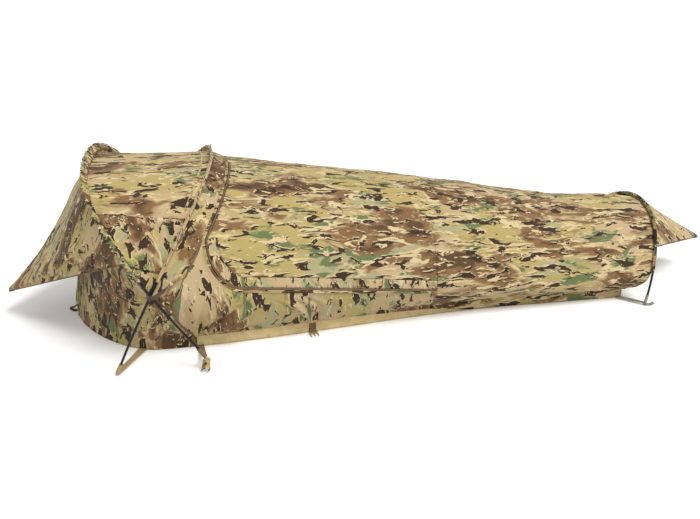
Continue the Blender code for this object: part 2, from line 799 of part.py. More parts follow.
def far_wall():
    """Whole far side behind the door line: one panel from the tub to the ridge."""
    grid = []
    for t in FAR_ROWS:
        stop = along_tube(DOOR_END_X, t)
        grid.append([tube_point(s, t) for s in spread(0.0, stop, DOOR_ARC_COUNT + DOOR_SILL_COUNT)])
    panel("far_wall", on_side(pull_back(grid, SEAM, SEAM, SEAM, SEAM), FAR), CAMO)


def foot_tubes():
    """The two halves of the leg end of the tube, from the door's seam to the foot hoop."""
    for label, side, rows in (("near", NEAR, NEAR_ROWS), ("far", FAR, FAR_ROWS)):
        grid = [[tube_point(s, t) for s in spread(along_tube(DOOR_END_X, t), 1.0, FOOT_TUBE_COUNT)]
                for t in rows]
        panel(f"{label}_foot_tube", on_side(pull_back(grid, SEAM, SEAM, SEAM, CORNER_SEAM), side), CAMO)


def foot_end():
    """End wall under the foot hoop with a vent, and the net that fills the vent."""
    rim = [tube_point(1.0, t) for t in NEAR_ROWS[1:]]
    rim += [mirrored(tube_point(1.0, t)) for t in reversed(FAR_ROWS[1:-1])]
    inner = FOOT_HALF - FOOT_WALL_INSET
    ys = spread(-inner, inner, len(rim) - 1)
    columns = []
    for top, y in zip(rim, ys):
        bottom = Vector((FOOT_X - CLOTH / 2, y, TUB_HEIGHT))
        middle = lerp(bottom, top, 0.5) + Vector((FOOT_BULGE, 0.0, 0.0))
        columns.append([lerp(lerp(bottom, middle, rise), lerp(middle, top, rise), rise)
                        for rise in spread(0.0, 1.0, FOOT_WALL_COUNT)])
    grid = transpose(columns)
    low = FOOT_WALL_COUNT - VENT_COUNT
    high = FOOT_WALL_COUNT - 1
    left = FOOT_VENT_START
    right = len(rim) - 1 - FOOT_VENT_END
    wall = pull_back(grid, CORNER_SEAM, CORNER_SEAM + SEAM, CORNER_SEAM, CORNER_SEAM)
    panel("foot_wall", wall, CAMO, hole=(low, high, left, right))
    vent = [row[left:right + 1] for row in grid[low:high + 1]]
    panel("foot_vent_net", pull_back(vent, SEAM, SEAM, SEAM, SEAM), MESH, NET)


def head_end():
    """End wall from the groundsheet up to the forward hoop with a vent, and the net in the vent."""
    half_rim = [DOOR_SEAM[0], BACK_SKIN[CROSSING]] + HEAD_SKIN[CROSSING + 1:]
    columns = []
    for k, top in enumerate(half_rim):
        x = head_floor(k / HEAD_WALL_HALF_COUNT)
        low = floor_edge(x, FLOOR + SEAM)
        bottom = floor_edge(x, TUB_HEIGHT)
        if k == 0:
            rising = [tube_point(0.0, t) for t in spread(0.0, TUCK_T, WALL_COUNT)]
        else:
            middle = lerp(bottom, top, 0.5)
            middle += Vector((bottom.x - SHOULDER_X, bottom.y, 0.0)).normalized() * HEAD_BULGE
            rising = [lerp(lerp(bottom, middle, rise), lerp(middle, top, rise), rise)
                      for rise in spread(0.0, 1.0, WALL_COUNT)]
        columns.append([low] + rising)
    columns += [[mirrored(p) for p in column] for column in reversed(columns[:-1])]
    grid = transpose(columns)
    rows = len(grid) - 1
    low = rows - VENT_COUNT
    high = rows - 1
    left = HEAD_VENT_START
    right = len(columns) - 1 - HEAD_VENT_START
    drops = [HEAD_WALL_DROP] * len(columns)
    for corner in (1, 2, -2, -3):
        drops[corner] = HEAD_CORNER_DROP
    wall = pull_back(grid, 0.0, drops, SEAM, SEAM)
    panel("head_wall", wall, CAMO, hole=(low, high, left, right))
    vent = [row[left:right + 1] for row in grid[low:high + 1]]
    panel("head_vent_net", pull_back(vent, SEAM, SEAM, SEAM, SEAM), MESH, NET)


# Cloth between and behind the two head hoops

def between_hoops(start, end):
    """Grid between the skin lines of the head hoops, from one station to another."""
    grid = []
    for low, high in zip(HEAD_SKIN[start:end + 1], BACK_SKIN[start:end + 1]):
        row = []
        for share in spread(0.0, 1.0, SIDE_COUNT):
            point = lerp(low, high, share)
            inwards = Vector((0.0, -point.y, -point.z)).normalized()
            row.append(point + inwards * ROOF_SAG * 4 * share * (1 - share))
        grid.append(row)
    return grid


def roof_panel():
    """Roof over the sleeper's face, from hem to hem across both head hoops."""
    half = between_hoops(ROOF_HEM, CROWN)
    grid = half + [[mirrored(p) for p in row] for row in reversed(half[:-1])]
    panel("roof_panel", pull_back(grid, SEAM, SEAM, SEAM, SEAM), CAMO)


def collars():
    """Cloth between the rear sleeve and the door line, near and far."""
    for label, side in (("near", NEAR), ("far", FAR)):
        seam = list(DOOR_SEAM)
        if side == NEAR:
            seam[DOOR_LOW_COUNT:] = WALL_LIP[DOOR_HIGH_COUNT::-1]
        grid = [[front, lerp(front, back, 0.5), back] for front, back in zip(BACK_SKIN[CROSSING:], seam)]
        panel(f"{label}_collar", on_side(pull_back(grid, CORNER_SEAM, SEAM, SEAM, SEAM), side), CAMO)


def side_windows():
    """Side net, the cloth below it and the flap that hangs over the net, near and far."""
    net = between_hoops(FLAP_HEM, ROOF_HEM)
    low = between_hoops(CROSSING + 1, FLAP_HEM)
    low = [[lerp(BACK_SKIN[CROSSING], p, WINDOW_TIP_SHARE) for p in low[0]]] + low
    head_edge = [CORNER_SEAM, CORNER_SEAM] + [SEAM] * (len(low) - 2)
    flap = pull_back(net, 0.0, CLEAR, FLAP_MARGIN, FLAP_MARGIN)
    close = CLOTH + SEAM * 1.5
    top = raised(flap, close)[-1]
    flap = raised(flap, FLAP_STANDOFF)[:-1] + [top]
    for label, side in (("near", NEAR), ("far", FAR)):
        panel(f"{label}_window_net", on_side(pull_back(net, SEAM, SEAM, SEAM, SEAM), side), MESH, NET)
        panel(f"{label}_side_wall", on_side(pull_back(low, CORNER_SEAM, SEAM, head_edge, SEAM), side), CAMO)
        shaped = on_side(flap, side)
        panel(f"{label}_window_flap", shaped, CAMO, anchor=lerp(shaped[-1][0], shaped[-1][-1], 0.5))


# Door

def door():
    """Main panel, the band round its lower corner and sill, and the tape that binds its edge."""
    lip = DOOR_LIP[DOOR_HIGH_COUNT:]
    inner = [tube_point(*tube_at(*arc_place(turn, DOOR_BAND)))
             for turn in spread(0.0, 1.0, DOOR_ARC_COUNT)]
    shift = Vector((0.0, 0.0, DOOR_BAND))
    for place in SILL[1:]:
        inner.append(tube_point(*tube_at(place.x, place.z + shift.z)))
    hinge = Vector(DOOR_HINGE_START)
    band = [lip, inner]
    panel("door_band", pull_back(band, 0.0, SEAM, SEAM, SEAM), CAMO, anchor=hinge)

    low_edge = [DOOR_LIP[DOOR_HIGH_COUNT]] + inner
    left_edge = DOOR_LIP[DOOR_HIGH_COUNT::-1]
    last = len(low_edge) - 1
    low_st = [tube_at(p.x, p.z) for p in low_edge]
    start_s = along_tube(left_edge[-1].x, 1.0)
    stop_s = along_tube(DOOR_END_X, 1.0)
    grid = []
    for i, rise in enumerate(spread(0.0, 1.0, DOOR_HIGH_COUNT)):
        row = []
        for k, (s, t) in enumerate(low_st):
            ridge_s = lerp(start_s, stop_s, k / last)
            point = tube_point(lerp(s, ridge_s, rise), lerp(t, 1.0, rise))
            row.append(point)
        left_miss = left_edge[i] - row[0]
        right_s = along_tube(DOOR_END_X, lerp(low_st[-1][1], 1.0, rise))
        right_miss = tube_point(right_s, lerp(low_st[-1][1], 1.0, rise)) - row[-1]
        for k in range(last + 1):
            share = k / last
            row[k] += left_miss * (1 - share) ** 3 + right_miss * share ** 3
        grid.append(row)
    panel("door_panel", pull_back(grid, SEAM, SEAM, 0.0, SEAM), CAMO, anchor=hinge)

    tape = transpose([BINDING_OUT, BINDING_IN])[1:]
    panel("door_binding", pull_back(tape, 0.0, SEAM), BROWN_TAPE, BINDING_THICK, anchor=hinge)


def zip_parts():
    """Zip coil in the slit round the door, its slider at the sill's foot end, and the hanging pull."""
    chain = transpose([zip_offset(-CHAIN_HALF), zip_offset(CHAIN_HALF)])[1:]
    panel("zip_chain", pull_back(chain, 0.0, CORNER_SEAM), PLASTIC, CHAIN_THICK)

    along = (SILL_END - SILL_START).normalized()
    inward = ZIP_INWARD[-2]
    inward = (inward - along * inward.dot(along)).normalized()
    outward = along.cross(inward).normalized()
    if outward.y > 0:
        outward.negate()
    third = inward.cross(outward)
    park = SILL_END - along * SLIDER_LONG * 2
    rotation = Matrix((inward, outward, third)).transposed().to_4x4()
    inner = CHAIN_HALF + CLEAR * 2
    wide = inner + SLIDER_WALL
    roof = CHAIN_THICK / 2 + CLEAR * 2
    top = roof + SLIDER_WALL
    foot = -CHAIN_THICK / 2
    outline = [(-wide, foot), (-wide, top), (wide, top), (wide, foot),
               (inner, foot), (inner, roof), (-inner, roof), (-inner, foot)]
    plate("zip_slider", [outline], SLIDER_LONG, PLASTIC, Matrix.Translation(park) @ rotation)

    pivot = park + outward * (top + CLEAR + PULL_THICK / 2)
    turned = Matrix((along, inward, along.cross(inward))).transposed().to_4x4()
    half = PULL_WIDTH / 2
    neck = half * PULL_NECK_SHARE
    tongue = [(-neck, 0.0), (-half, -PULL_LONG * PULL_NECK_SHARE), (-half, -PULL_LONG),
              (half, -PULL_LONG), (half, -PULL_LONG * PULL_NECK_SHARE), (neck, 0.0)]
    plate("zip_pull", [tongue], PULL_THICK, PLASTIC, Matrix.Translation(pivot) @ turned)


# Vent hoods

def hood(name, wire_name, rings, direction, tip, tip_half, dip):
    """A beak of cloth from an arch of a hoop out to a tip, and the wire along its open rim."""
    base = [ring.centre + ring.across * direction * (SLEEVE_HALF + CLOTH / 2 + SEAM * 2) for ring in rings]
    half = abs(base[0].y)
    low = base[0].z
    high = max(p.z for p in base)
    grid = []
    for share in spread(0.0, 1.0, HOOD_COUNT):
        row = []
        for p in base:
            end = tip + Vector((0.0, p.y / half * tip_half, (p.z - low) / (high - low) * tip_half))
            point = lerp(p, end, share)
            point.z -= dip * 4 * share * (1 - share) * (p.z - low) / (high - low)
            row.append(point)
        grid.append(row)
    panel(name, grid, CAMO)
    gap = HOOD_WIRE_R + CLEAR
    near = [row[0] + (row[0] - row[1]).normalized() * gap for row in grid]
    far = [row[-1] + (row[-1] - row[-2]).normalized() * gap for row in grid]
    for rim in (near, far):
        rim[0] += (rim[1] - rim[0]).normalized() * WIRE_START
    tube(wire_name, near + far[::-1], HOOD_WIRE_R, WIRE)


def tube(name, path, radius, material):
    """A round wire or cord along a path, with closed ends."""
    curve = bpy.data.curves.new(name, "CURVE")
    curve.dimensions = "3D"
    curve.bevel_depth = radius
    curve.bevel_resolution = 1
    curve.use_fill_caps = True
    spline = curve.splines.new("POLY")
    spline.points.add(len(path) - 1)
    anchor = path[len(path) // 2]
    for point, place in zip(spline.points, path):
        point.co = (*(place - anchor), 1.0)
    body = bpy.data.objects.new(name, curve)
    body.location = anchor
    curve.materials.append(material)
    TENT.objects.link(body)
    return body


# Straps, pockets and tails at the pole feet

def pocket_profile():
    """Blind cup round a pole's foot, as distances along the pole and radii, from its inside out."""
    bottom = POCKET_FLOOR
    mouth = POCKET_FLOOR + POCKET_LONG
    inner = POLE_R + CLEAR
    outer = inner + WEBBING
    return [(bottom - CLEAR, inner), (mouth, inner), (mouth, outer), (0.0, outer)]


def foot_strap(name, rings, x, z, side, material):
    """Webbing from the groundsheet's edge out to the pole, ending in a pocket for the pole's foot."""
    first = rings[0]
    along = (rings[1].centre - first.centre).normalized()
    below = Ring(first.centre - along * POCKET_FLOOR, first.outward, first.across)
    cup_rings = [below] + list(rings[:3])
    if side == FAR:
        cup_rings = [Ring(mirrored(r.centre), mirrored(r.outward), mirrored(r.across)) for r in cup_rings]
    cup = bent_turning(name, cup_rings, pocket_profile(), material)
    stand = SEAM * 2 if x > CORNER_X else CLOTH / 2 + SEAM
    start = Vector((x, side * (floor_half(x) + stand), z))
    middle = cup_rings[0].centre + (cup_rings[1].centre - cup_rings[0].centre) * 0.5
    flat = Vector((middle.x - start.x, middle.y - start.y, 0.0)).normalized()
    sideways = UP.cross(flat)
    reach = POLE_R + CLEAR + WEBBING / 2
    end = middle - flat * reach
    path = [lerp(start, end, share) for share in spread(0.0, 1.0, STRAP_COUNT)]
    widths = [STRAP_WIDTH if share < 1.0 else STRAP_END_WIDTH for share in spread(0.0, 1.0, STRAP_COUNT)]
    grid = [[p - sideways * w / 2, p + sideways * w / 2] for p, w in zip(path, widths)]
    sewn = [x + side * STRAP_WIDTH / 2, x - side * STRAP_WIDTH / 2]
    grid[0] = [Vector((place, side * (floor_half(place) + stand), z)) for place in sewn]
    strap = panel(f"{name}_web", grid, material)
    join(cup, strap)


def join(body, other):
    """Joins a second object to the first as one solid, and removes the second."""
    united = body.modifiers.new("joined", "BOOLEAN")
    united.operation = "UNION"
    united.object = other
    united.solver = "EXACT"
    bpy.context.view_layer.update()
    graph = bpy.context.evaluated_depsgraph_get()
    mesh = bpy.data.meshes.new_from_object(body.evaluated_get(graph))
    body.modifiers.clear()
    body.data = mesh
    bpy.data.objects.remove(other, do_unlink=True)


def foot_straps():
    """All six straps, with the pocket at each end of each pole."""
    for label, side in (("near", NEAR), ("far", FAR)):
        foot_strap(f"{label}_rear_hoop_strap", BACK_RINGS, REAR_STRAP_X, STRAP_LOW_Z, side, TAN)
        foot_strap(f"{label}_front_hoop_strap", HEAD_RINGS, FRONT_STRAP_X, STRAP_LOW_Z, side, BROWN_TAPE)
        foot_strap(f"{label}_foot_hoop_strap", FOOT_RINGS, FOOT_STRAP_X, STRAP_LOW_Z, side, GREY_WEB)


def knotted_tails():
    """Loose end of the forward hoop's strap: a knot with a short tail hanging from it, near and far."""
    first = HEAD_RINGS[0]
    along = (HEAD_RINGS[1].centre - first.centre).normalized()
    cup_bottom = first.centre - along * POCKET_FLOOR
    drop = (POLE_R + CLEAR + WEBBING) * math.hypot(along.x, along.y) + CLEAR
    top = cup_bottom - UP * (drop - TAIL_RISE)
    knot = KNOT / 2
    neck = knot * TAIL_NECK_SHARE
    half = TAIL_WIDTH / 2
    thin = half * TAIL_THIN_SHARE
    levels = [(0.0, neck, neck), (-knot * 0.5, knot, knot), (-knot * 1.5, knot, knot), (-KNOT, neck, neck),
              (-KNOT - TAIL_LONG * 0.2, half, thin), (-KNOT - TAIL_LONG * 0.55, half, thin)]
    for label, side in (("near", NEAR), ("far", FAR)):
        anchor = top if side == NEAR else mirrored(top)
        points = []
        for z, x_half, y_half in levels:
            points += [anchor + Vector((x, y, z)) for x, y in
                       ((-x_half, -y_half), (x_half, -y_half), (x_half, y_half), (-x_half, y_half))]
        faces = [(3, 2, 1, 0)]
        for i in range(len(levels) - 1):
            low = 4 * i
            faces += [(low + k, low + (k + 1) % 4, low + 4 + (k + 1) % 4, low + 4 + k) for k in range(4)]
        last = 4 * (len(levels) - 1)
        faces.append((last, last + 1, last + 2, last + 3))
        name = f"{label}_strap_tail"
        tail = link(name, mesh_from(name, points, faces), CAMO, anchor)
        soft = tail.modifiers.new("soft", "SUBSURF")
        soft.levels = 1
        soft.render_levels = 1


# Tabs, buckle and loops

def crossing_tabs():
    """Webbing that is sewn to the collar and wraps both poles where they cross."""
    back = hoop_point(LEAN_BACK, angle_at(LEAN_BACK, CROSSING_TAB_Z))
    front = hoop_point(LEAN_HEAD, angle_at(LEAN_HEAD, CROSSING_TAB_Z))
    low = lerp(BACK_SKIN[CROSSING], DOOR_SEAM[0], 0.5)
    high = lerp(BACK_SKIN[CROSSING + 1], DOOR_SEAM[1], 0.5)
    upward = (high - low).normalized()
    outward = (DOOR_SEAM[0] - BACK_SKIN[CROSSING]).cross(upward).normalized()
    sewn = lerp(low, high, (CROSSING_TAB_Z - low.z) / (high.z - low.z)) + outward * (CLOTH + SEAM)
    path = [
        sewn,
        Vector((front.x + CROSSING_REACH, front.y, front.z)),
        Vector((front.x + CROSSING_REACH * CROSSING_CORNER_SHARE, front.y - CROSSING_FRONT, front.z)),
        Vector((front.x - CROSSING_REACH * CROSSING_CORNER_SHARE, front.y - CROSSING_FRONT, front.z)),
        Vector((back.x - CROSSING_REACH, front.y, front.z)),
        Vector((back.x - CROSSING_REACH, back.y - POLE_R, front.z)),
    ]
    directions = [upward] + [UP] * (len(path) - 1)
    for label, side in (("near", NEAR), ("far", FAR)):
        line = path if side == NEAR else [mirrored(p) for p in path]
        turned = directions if side == NEAR else [mirrored(d) for d in directions]
        ribbon(f"{label}_crossing_tab", line, turned, CROSSING_TAB_WIDTH, CAMO)


def tub_line(x):
    """A point at the foot of the near tub edge, and the direction of the straight stretch it is on."""
    places = spread(CORNER_X, FOOT_X, TUB_COUNT)
    for start, end in zip(places, places[1:]):
        if start <= x <= end:
            low = floor_edge(start, 0.0)
            high = floor_edge(end, 0.0)
            return lerp(low, high, (x - start) / (end - start)), (high - low).normalized()


def buckle_tab():
    """Webbing tab sewn to the tub edge, and the plug half of a buckle hung on its end."""
    base, along = tub_line(BUCKLE_X)
    outward = Vector((along.y, -along.x, 0.0))
    skin = CLEAR + WEBBING / 2
    bar = BUCKLE_THICK + CLEAR + WEBBING
    slot_near = TAB_RUN + BUCKLE_BAR
    slot_far = slot_near + BUCKLE_SLOT
    shape = [
        (skin, TUB_HEIGHT - TAB_TOP), (skin, TUB_HEIGHT / 2), (skin, bar * 2),
        (TAB_RUN / 2, bar * 1.2), (TAB_RUN, bar), (slot_near, bar),
        ((slot_near + slot_far) / 2, WEBBING * 2),
    ]
    path = [base + outward * run + UP * z for run, z in shape]
    ribbon("buckle_tab", path, along, TAB_WIDTH, BROWN_TAPE, anchor=path[0].copy())

    half = BUCKLE_WIDTH / 2
    body = BUCKLE_BAR * 2 + BUCKLE_SLOT
    arm = half * BUCKLE_ARM_SHARE
    guide = half * BUCKLE_GUIDE_SHARE
    barb = body + (BUCKLE_LONG - body) * BUCKLE_BARB_SHARE
    right = [(half, 0.0), (half, body), (half - arm / 2, body), (half, barb),
             (half - arm / 2, BUCKLE_LONG), (half - arm, BUCKLE_LONG), (half - arm, body),
             (guide, body), (guide, BUCKLE_LONG * BUCKLE_GUIDE_LONG_SHARE)]
    outline = right + [(-x, y) for x, y in reversed(right)]
    slot_half = TAB_WIDTH / 2 + CLEAR * 2
    slot_top = BUCKLE_BAR + BUCKLE_SLOT
    slot = [(-slot_half, BUCKLE_BAR), (-slot_half, slot_top), (slot_half, slot_top), (slot_half, BUCKLE_BAR)]
    start = base + outward * TAB_RUN + UP * (BUCKLE_THICK / 2 + SEAM)
    rotation = Matrix((-along, outward, UP)).transposed().to_4x4()
    plate("buckle_plug", [outline, slot], BUCKLE_THICK, PLASTIC, Matrix.Translation(start) @ rotation)


def head_peg_loop():
    """Loop of webbing at the head tip for a peg."""
    x = HEAD_X - SEAM - CLOTH
    path = [
        Vector((x, 0.0, PEG_LOOP_Z)),
        Vector((x - PEG_LOOP_LONG * 0.5, 0.0, PEG_LOOP_Z * 0.6)),
        Vector((x - PEG_LOOP_LONG, 0.0, PEG_LOOP_Z * 0.5)),
        Vector((x - PEG_LOOP_LONG * 0.5, 0.0, WEBBING)),
        Vector((x, 0.0, WEBBING)),
    ]
    ribbon("head_peg_loop", path, Vector((0.0, 1.0, 0.0)), STRAP_WIDTH, BROWN_TAPE)


def sleeves():
    """The three pole sleeves."""
    end = CROSSING + 1
    sleeve("rear_sleeve", BACK_RINGS[end:-end], HEAD_SLEEVE_IN, REAR_SLEEVE_OUT, CAMO)
    sleeve("front_sleeve", HEAD_RINGS[end:-end], HEAD_SLEEVE_IN, FRONT_SLEEVE_OUT, CAMO)
    sleeve("foot_sleeve", FOOT_RINGS[FOOT_LEG_COUNT:-FOOT_LEG_COUNT], FOOT_SLEEVE_IN, FOOT_SLEEVE_OUT, CAMO)


def poles():
    """The three poles in their sections."""
    pole_sections("rear_pole", BACK_RINGS, HEAD_POLE_SECTIONS)
    pole_sections("front_pole", HEAD_RINGS, HEAD_POLE_SECTIONS)
    pole_sections("foot_pole", FOOT_RINGS, FOOT_POLE_SECTIONS)


def hoods():
    """The two vent hoods."""
    rings = HEAD_RINGS[FLAP_HEM:-FLAP_HEM]
    hood("head_hood", "head_hood_wire", rings, -1.0, HEAD_TIP, HEAD_TIP_HALF, HEAD_HOOD_DIP)
    angles = spread(angle_at(FOOT_HOOP, FOOT_HOOD_Z), CROWN_ANGLE, ROOF_COUNT)
    rings = hoop_rings(FOOT_HOOP, angles)
    hood("foot_hood", "foot_hood_wire", rings, 1.0, FOOT_TIP, FOOT_TIP_HALF, FOOT_HOOD_DIP)


groundsheet()
tub_edges()
near_lower_wall()
far_wall()
foot_tubes()
foot_end()
head_end()
roof_panel()
collars()
side_windows()
door()
zip_parts()
sleeves()
poles()
hoods()
foot_straps()
knotted_tails()
crossing_tabs()
buckle_tab()
head_peg_loop()
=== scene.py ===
# %% [markdown]
# # A hooped bivvy tent
# This lesson dresses the CAD model of a one person bivvy tent. The tent is a long tube of printed
# cloth on a groundsheet. Two crossed hoops hold the head end open, a small hoop holds the foot
# end, and each end has a beak shaped hood over a vent. Every seam already has its place in the
# CAD model, so the lesson reads the seams from there and sews finer cloth between them.

# %% Tools and the fixed frame
import json
import math
from collections import namedtuple

import bmesh
import bpy
import numpy as np
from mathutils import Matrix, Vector, noise
from mathutils.kdtree import KDTree

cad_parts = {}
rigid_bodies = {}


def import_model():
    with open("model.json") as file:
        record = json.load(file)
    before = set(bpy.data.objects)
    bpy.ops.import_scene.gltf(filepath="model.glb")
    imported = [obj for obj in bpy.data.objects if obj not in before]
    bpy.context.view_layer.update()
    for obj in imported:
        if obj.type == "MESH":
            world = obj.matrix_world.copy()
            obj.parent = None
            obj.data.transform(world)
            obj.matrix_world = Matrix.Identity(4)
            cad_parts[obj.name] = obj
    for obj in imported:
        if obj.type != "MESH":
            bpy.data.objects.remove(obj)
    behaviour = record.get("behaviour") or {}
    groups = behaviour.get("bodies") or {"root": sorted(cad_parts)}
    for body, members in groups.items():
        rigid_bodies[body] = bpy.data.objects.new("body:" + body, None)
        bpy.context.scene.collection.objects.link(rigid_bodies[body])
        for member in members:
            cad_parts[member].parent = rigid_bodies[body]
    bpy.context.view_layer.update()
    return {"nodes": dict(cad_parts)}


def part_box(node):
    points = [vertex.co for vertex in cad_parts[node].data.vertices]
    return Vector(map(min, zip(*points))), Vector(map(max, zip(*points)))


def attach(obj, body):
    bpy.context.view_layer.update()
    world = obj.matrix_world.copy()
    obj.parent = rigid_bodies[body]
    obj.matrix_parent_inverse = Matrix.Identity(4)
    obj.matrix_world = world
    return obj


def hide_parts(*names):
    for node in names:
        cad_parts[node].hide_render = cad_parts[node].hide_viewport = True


for start_object in list(bpy.data.objects):
    bpy.data.objects.remove(start_object)
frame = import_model()

# %% [markdown]
# ## Lines and meshes
# Cloth is handled as arrays of points. A few short functions give ways of length 1, lengths
# along a line, and make one change to a mesh.

# %% Lines and meshes
SIDES = ("near", "far")
WELD = 0.00001


def unit(ways, tiny=0.0):
    """Ways of length 1; tiny keeps a way of no length from dividing by zero."""
    return ways / (np.linalg.norm(ways, axis=-1, keepdims=True) + tiny)


def headings(line, tiny=0.0):
    """The way a line runs at each of its points."""
    return unit(np.gradient(line, axis=0), tiny)


def square_to(along, ways, tiny=0.0):
    """Ways turned square to the line that they stand on."""
    return unit(ways - along * np.sum(ways * along, axis=1, keepdims=True), tiny)


def stretches(points, axis=0):
    """The lengths between neighbouring points, along a line or along one axis of a grid."""
    return np.linalg.norm(np.diff(points, axis=axis), axis=-1)


def travelled(line):
    """How far along a line each of its points is."""
    return np.concatenate([[0], np.cumsum(stretches(line))])


def rework(mesh, change):
    """Opens a mesh, makes one change to it and closes it."""
    shaped = bmesh.new()
    shaped.from_mesh(mesh)
    change(shaped)
    shaped.to_mesh(mesh)
    shaped.free()
    return mesh


def face_outwards(shaped):
    """Turns the faces of a closed shape outwards."""
    bmesh.ops.recalc_face_normals(shaped, faces=shaped.faces)


def welded(node):
    """A CAD node's mesh, opened, with its doubled points joined."""
    shaped = bmesh.new()
    shaped.from_mesh(frame["nodes"][node].data)
    bmesh.ops.remove_doubles(shaped, verts=shaped.verts, dist=WELD)
    return shaped


print("a way of length 1", unit(np.array([3.0, 4.0, 0.0])).tolist())

# %% [markdown]
# ## The camera
# The camera stands at the tent's long side, a little toward the head, and looks down on it.
# Its place was worked out from where the tent's corners appear in the picture.

# %% The camera
view = bpy.data.cameras.new("view")
view.lens = 40.08
view.sensor_width = 36.0
camera = bpy.data.objects.new("camera", view)
camera.location = (-0.557, -3.409, 1.566)
camera.rotation_euler = (math.radians(67.913), 0.0, math.radians(-10.166))
bpy.context.scene.collection.objects.link(camera)
bpy.context.scene.camera = camera
print("camera lens", view.lens)

# %% [markdown]
# ## Light and floor
# Cloth shows its folds best in one broad soft lamp from above, with pale light from all round
# to open the shadows. The floor has to look white and still carry a soft shadow, so the camera
# sees it partly as a plain white light and partly as a pale lit surface.

# %% Light and floor
scene = bpy.context.scene
scene.view_settings.view_transform = "Standard"
WHITE = (1.0, 1.0, 1.0, 1.0)
FLOOR_REACH = 60.0
FLOOR_LEVEL = -0.001


def nodes_of(owner):
    """Turns on the nodes of a material or world and gives the tree, emptied."""
    owner.use_nodes = True
    owner.node_tree.nodes.clear()
    return owner.node_tree


def feed(node, inputs):
    """Joins each input to another node's output, or sets it to a value."""
    for key, value in inputs.items():
        if isinstance(value, bpy.types.NodeSocket):
            node.id_data.links.new(value, node.inputs[key])
        else:
            node.inputs[key].default_value = value
    return node


def add_node(tree, kind, **inputs):
    """Adds a node and feeds its inputs; an underscore in an input's name stands for a space."""
    names = {key.replace("_", " "): value for key, value in inputs.items()}
    return feed(tree.nodes.new("ShaderNode" + kind), names)


def seen_rays(tree):
    """1 where a ray comes from the camera, or through glass or off gloss; else 0."""
    path = add_node(tree, "LightPath")
    total = path.outputs["Is Camera Ray"]
    for name in ("Is Glossy Ray", "Is Transmission Ray"):
        step = feed(add_node(tree, "Math"), {0: total, 1: path.outputs[name]})
        step.operation = "MAXIMUM"
        total = step.outputs[0]
    return total


def mixed_by_ray(tree, hidden, seen, output):
    """Ends a tree with one shader for light that is cast about and another for what is seen."""
    mix = add_node(tree, "MixShader", Fac=seen_rays(tree))
    feed(mix, {1: hidden.outputs[0], 2: seen.outputs[0]})
    add_node(tree, output, Surface=mix.outputs[0])


world = bpy.data.worlds.new("studio")
scene.world = world
tree = nodes_of(world)
fill = add_node(tree, "Background", Color=(1.0, 0.985, 0.96, 1.0), Strength=0.50)
mixed_by_ray(tree, fill, add_node(tree, "Background", Color=WHITE, Strength=1.0), "OutputWorld")

pale = bpy.data.materials.new("pale_floor")
tree = nodes_of(pale)
lit = add_node(tree, "BsdfDiffuse", Color=(0.80, 0.80, 0.80, 1.0))
seen = add_node(tree, "BsdfDiffuse", Color=WHITE)
glow = add_node(tree, "Emission", Color=WHITE, Strength=0.20)
both = feed(add_node(tree, "AddShader"), {0: seen.outputs[0], 1: glow.outputs[0]})
mixed_by_ray(tree, lit, both, "OutputMaterial")
mesh = bpy.data.meshes.new("floor")
corners = [(x * FLOOR_REACH, y * FLOOR_REACH, FLOOR_LEVEL) for x, y in ((-1, -1), (1, -1), (1, 1), (-1, 1))]
mesh.from_pydata(corners, [], [(0, 1, 2, 3)])
mesh.materials.append(pale)
floor = bpy.data.objects.new("floor", mesh)
scene.collection.objects.link(floor)

lamp = bpy.data.lights.new("overhead", "SUN")
lamp.energy = 2.00
lamp.angle = math.radians(24.0)
overhead = bpy.data.objects.new("overhead", lamp)
overhead.rotation_euler = Vector((0.40, -0.50, 1.0)).to_track_quat("Z", "Y").to_euler()
scene.collection.objects.link(overhead)

# %% [markdown]
# ## Reading a panel's seams
# A CAD panel is a thin closed solid: an outer skin, an inner skin and a narrow rim. Both skins
# have the same rows and columns of points that the panel was drawn with. This step finds one
# skin by walking over edges that bend little, orders its points into rows and columns by
# stepping from the rim inwards one cell at a time, and takes the middle between the two skins.

# %% Reading a panel's seams
BEND_LIMIT = math.radians(47)
ALONG, ACROSS, UP, HEADWARD = (1, 0, 0), (0, 1, 0), (0, 0, 1), (-1, 0, 0)
CORE_HEAD, CORE_FOOT, CORE_HEIGHT = -0.8, 1.1, 0.16


def skins_of(node):
    """The two large skins of a thin CAD panel, each as a set of triangles, and their mesh."""
    shaped = welded(node)
    shaped.faces.ensure_lookup_table()
    left = set(shaped.faces)
    parts = []
    while left:
        seed = left.pop()
        part = {seed}
        todo = [seed]
        while todo:
            face = todo.pop()
            for edge in face.edges:
                for other in edge.link_faces:
                    if other in left and edge.calc_face_angle(math.pi) < BEND_LIMIT:
                        left.discard(other)
                        part.add(other)
                        todo.append(other)
        parts.append(part)
    parts.sort(key=lambda part: -sum(f.calc_area() for f in part))
    return shaped, parts[:2]


def outwardness(part):
    """How far a skin's faces point away from the line through the middle of the tent."""
    total = 0.0
    for face in part:
        centre = face.calc_center_median()
        away = centre - Vector((min(max(centre.x, CORE_HEAD), CORE_FOOT), 0.0, CORE_HEIGHT))
        total += face.normal.dot(away.normalized()) * face.calc_area()
    return total


def rim_loop(part):
    """The points round a skin's outer edge, in order."""
    follow = {}
    for face in part:
        for loop in face.loops:
            if not any(f in part for f in loop.edge.link_faces if f is not face):
                follow.setdefault(loop.vert, []).append(loop.link_loop_next.vert)
    loops = []
    while follow:
        start = next(iter(follow))
        line = [start]
        here = follow.pop(start)[0]
        while here is not start:
            line.append(here)
            here = follow.pop(here)[0]
        loops.append(line)
    return max(loops, key=len)


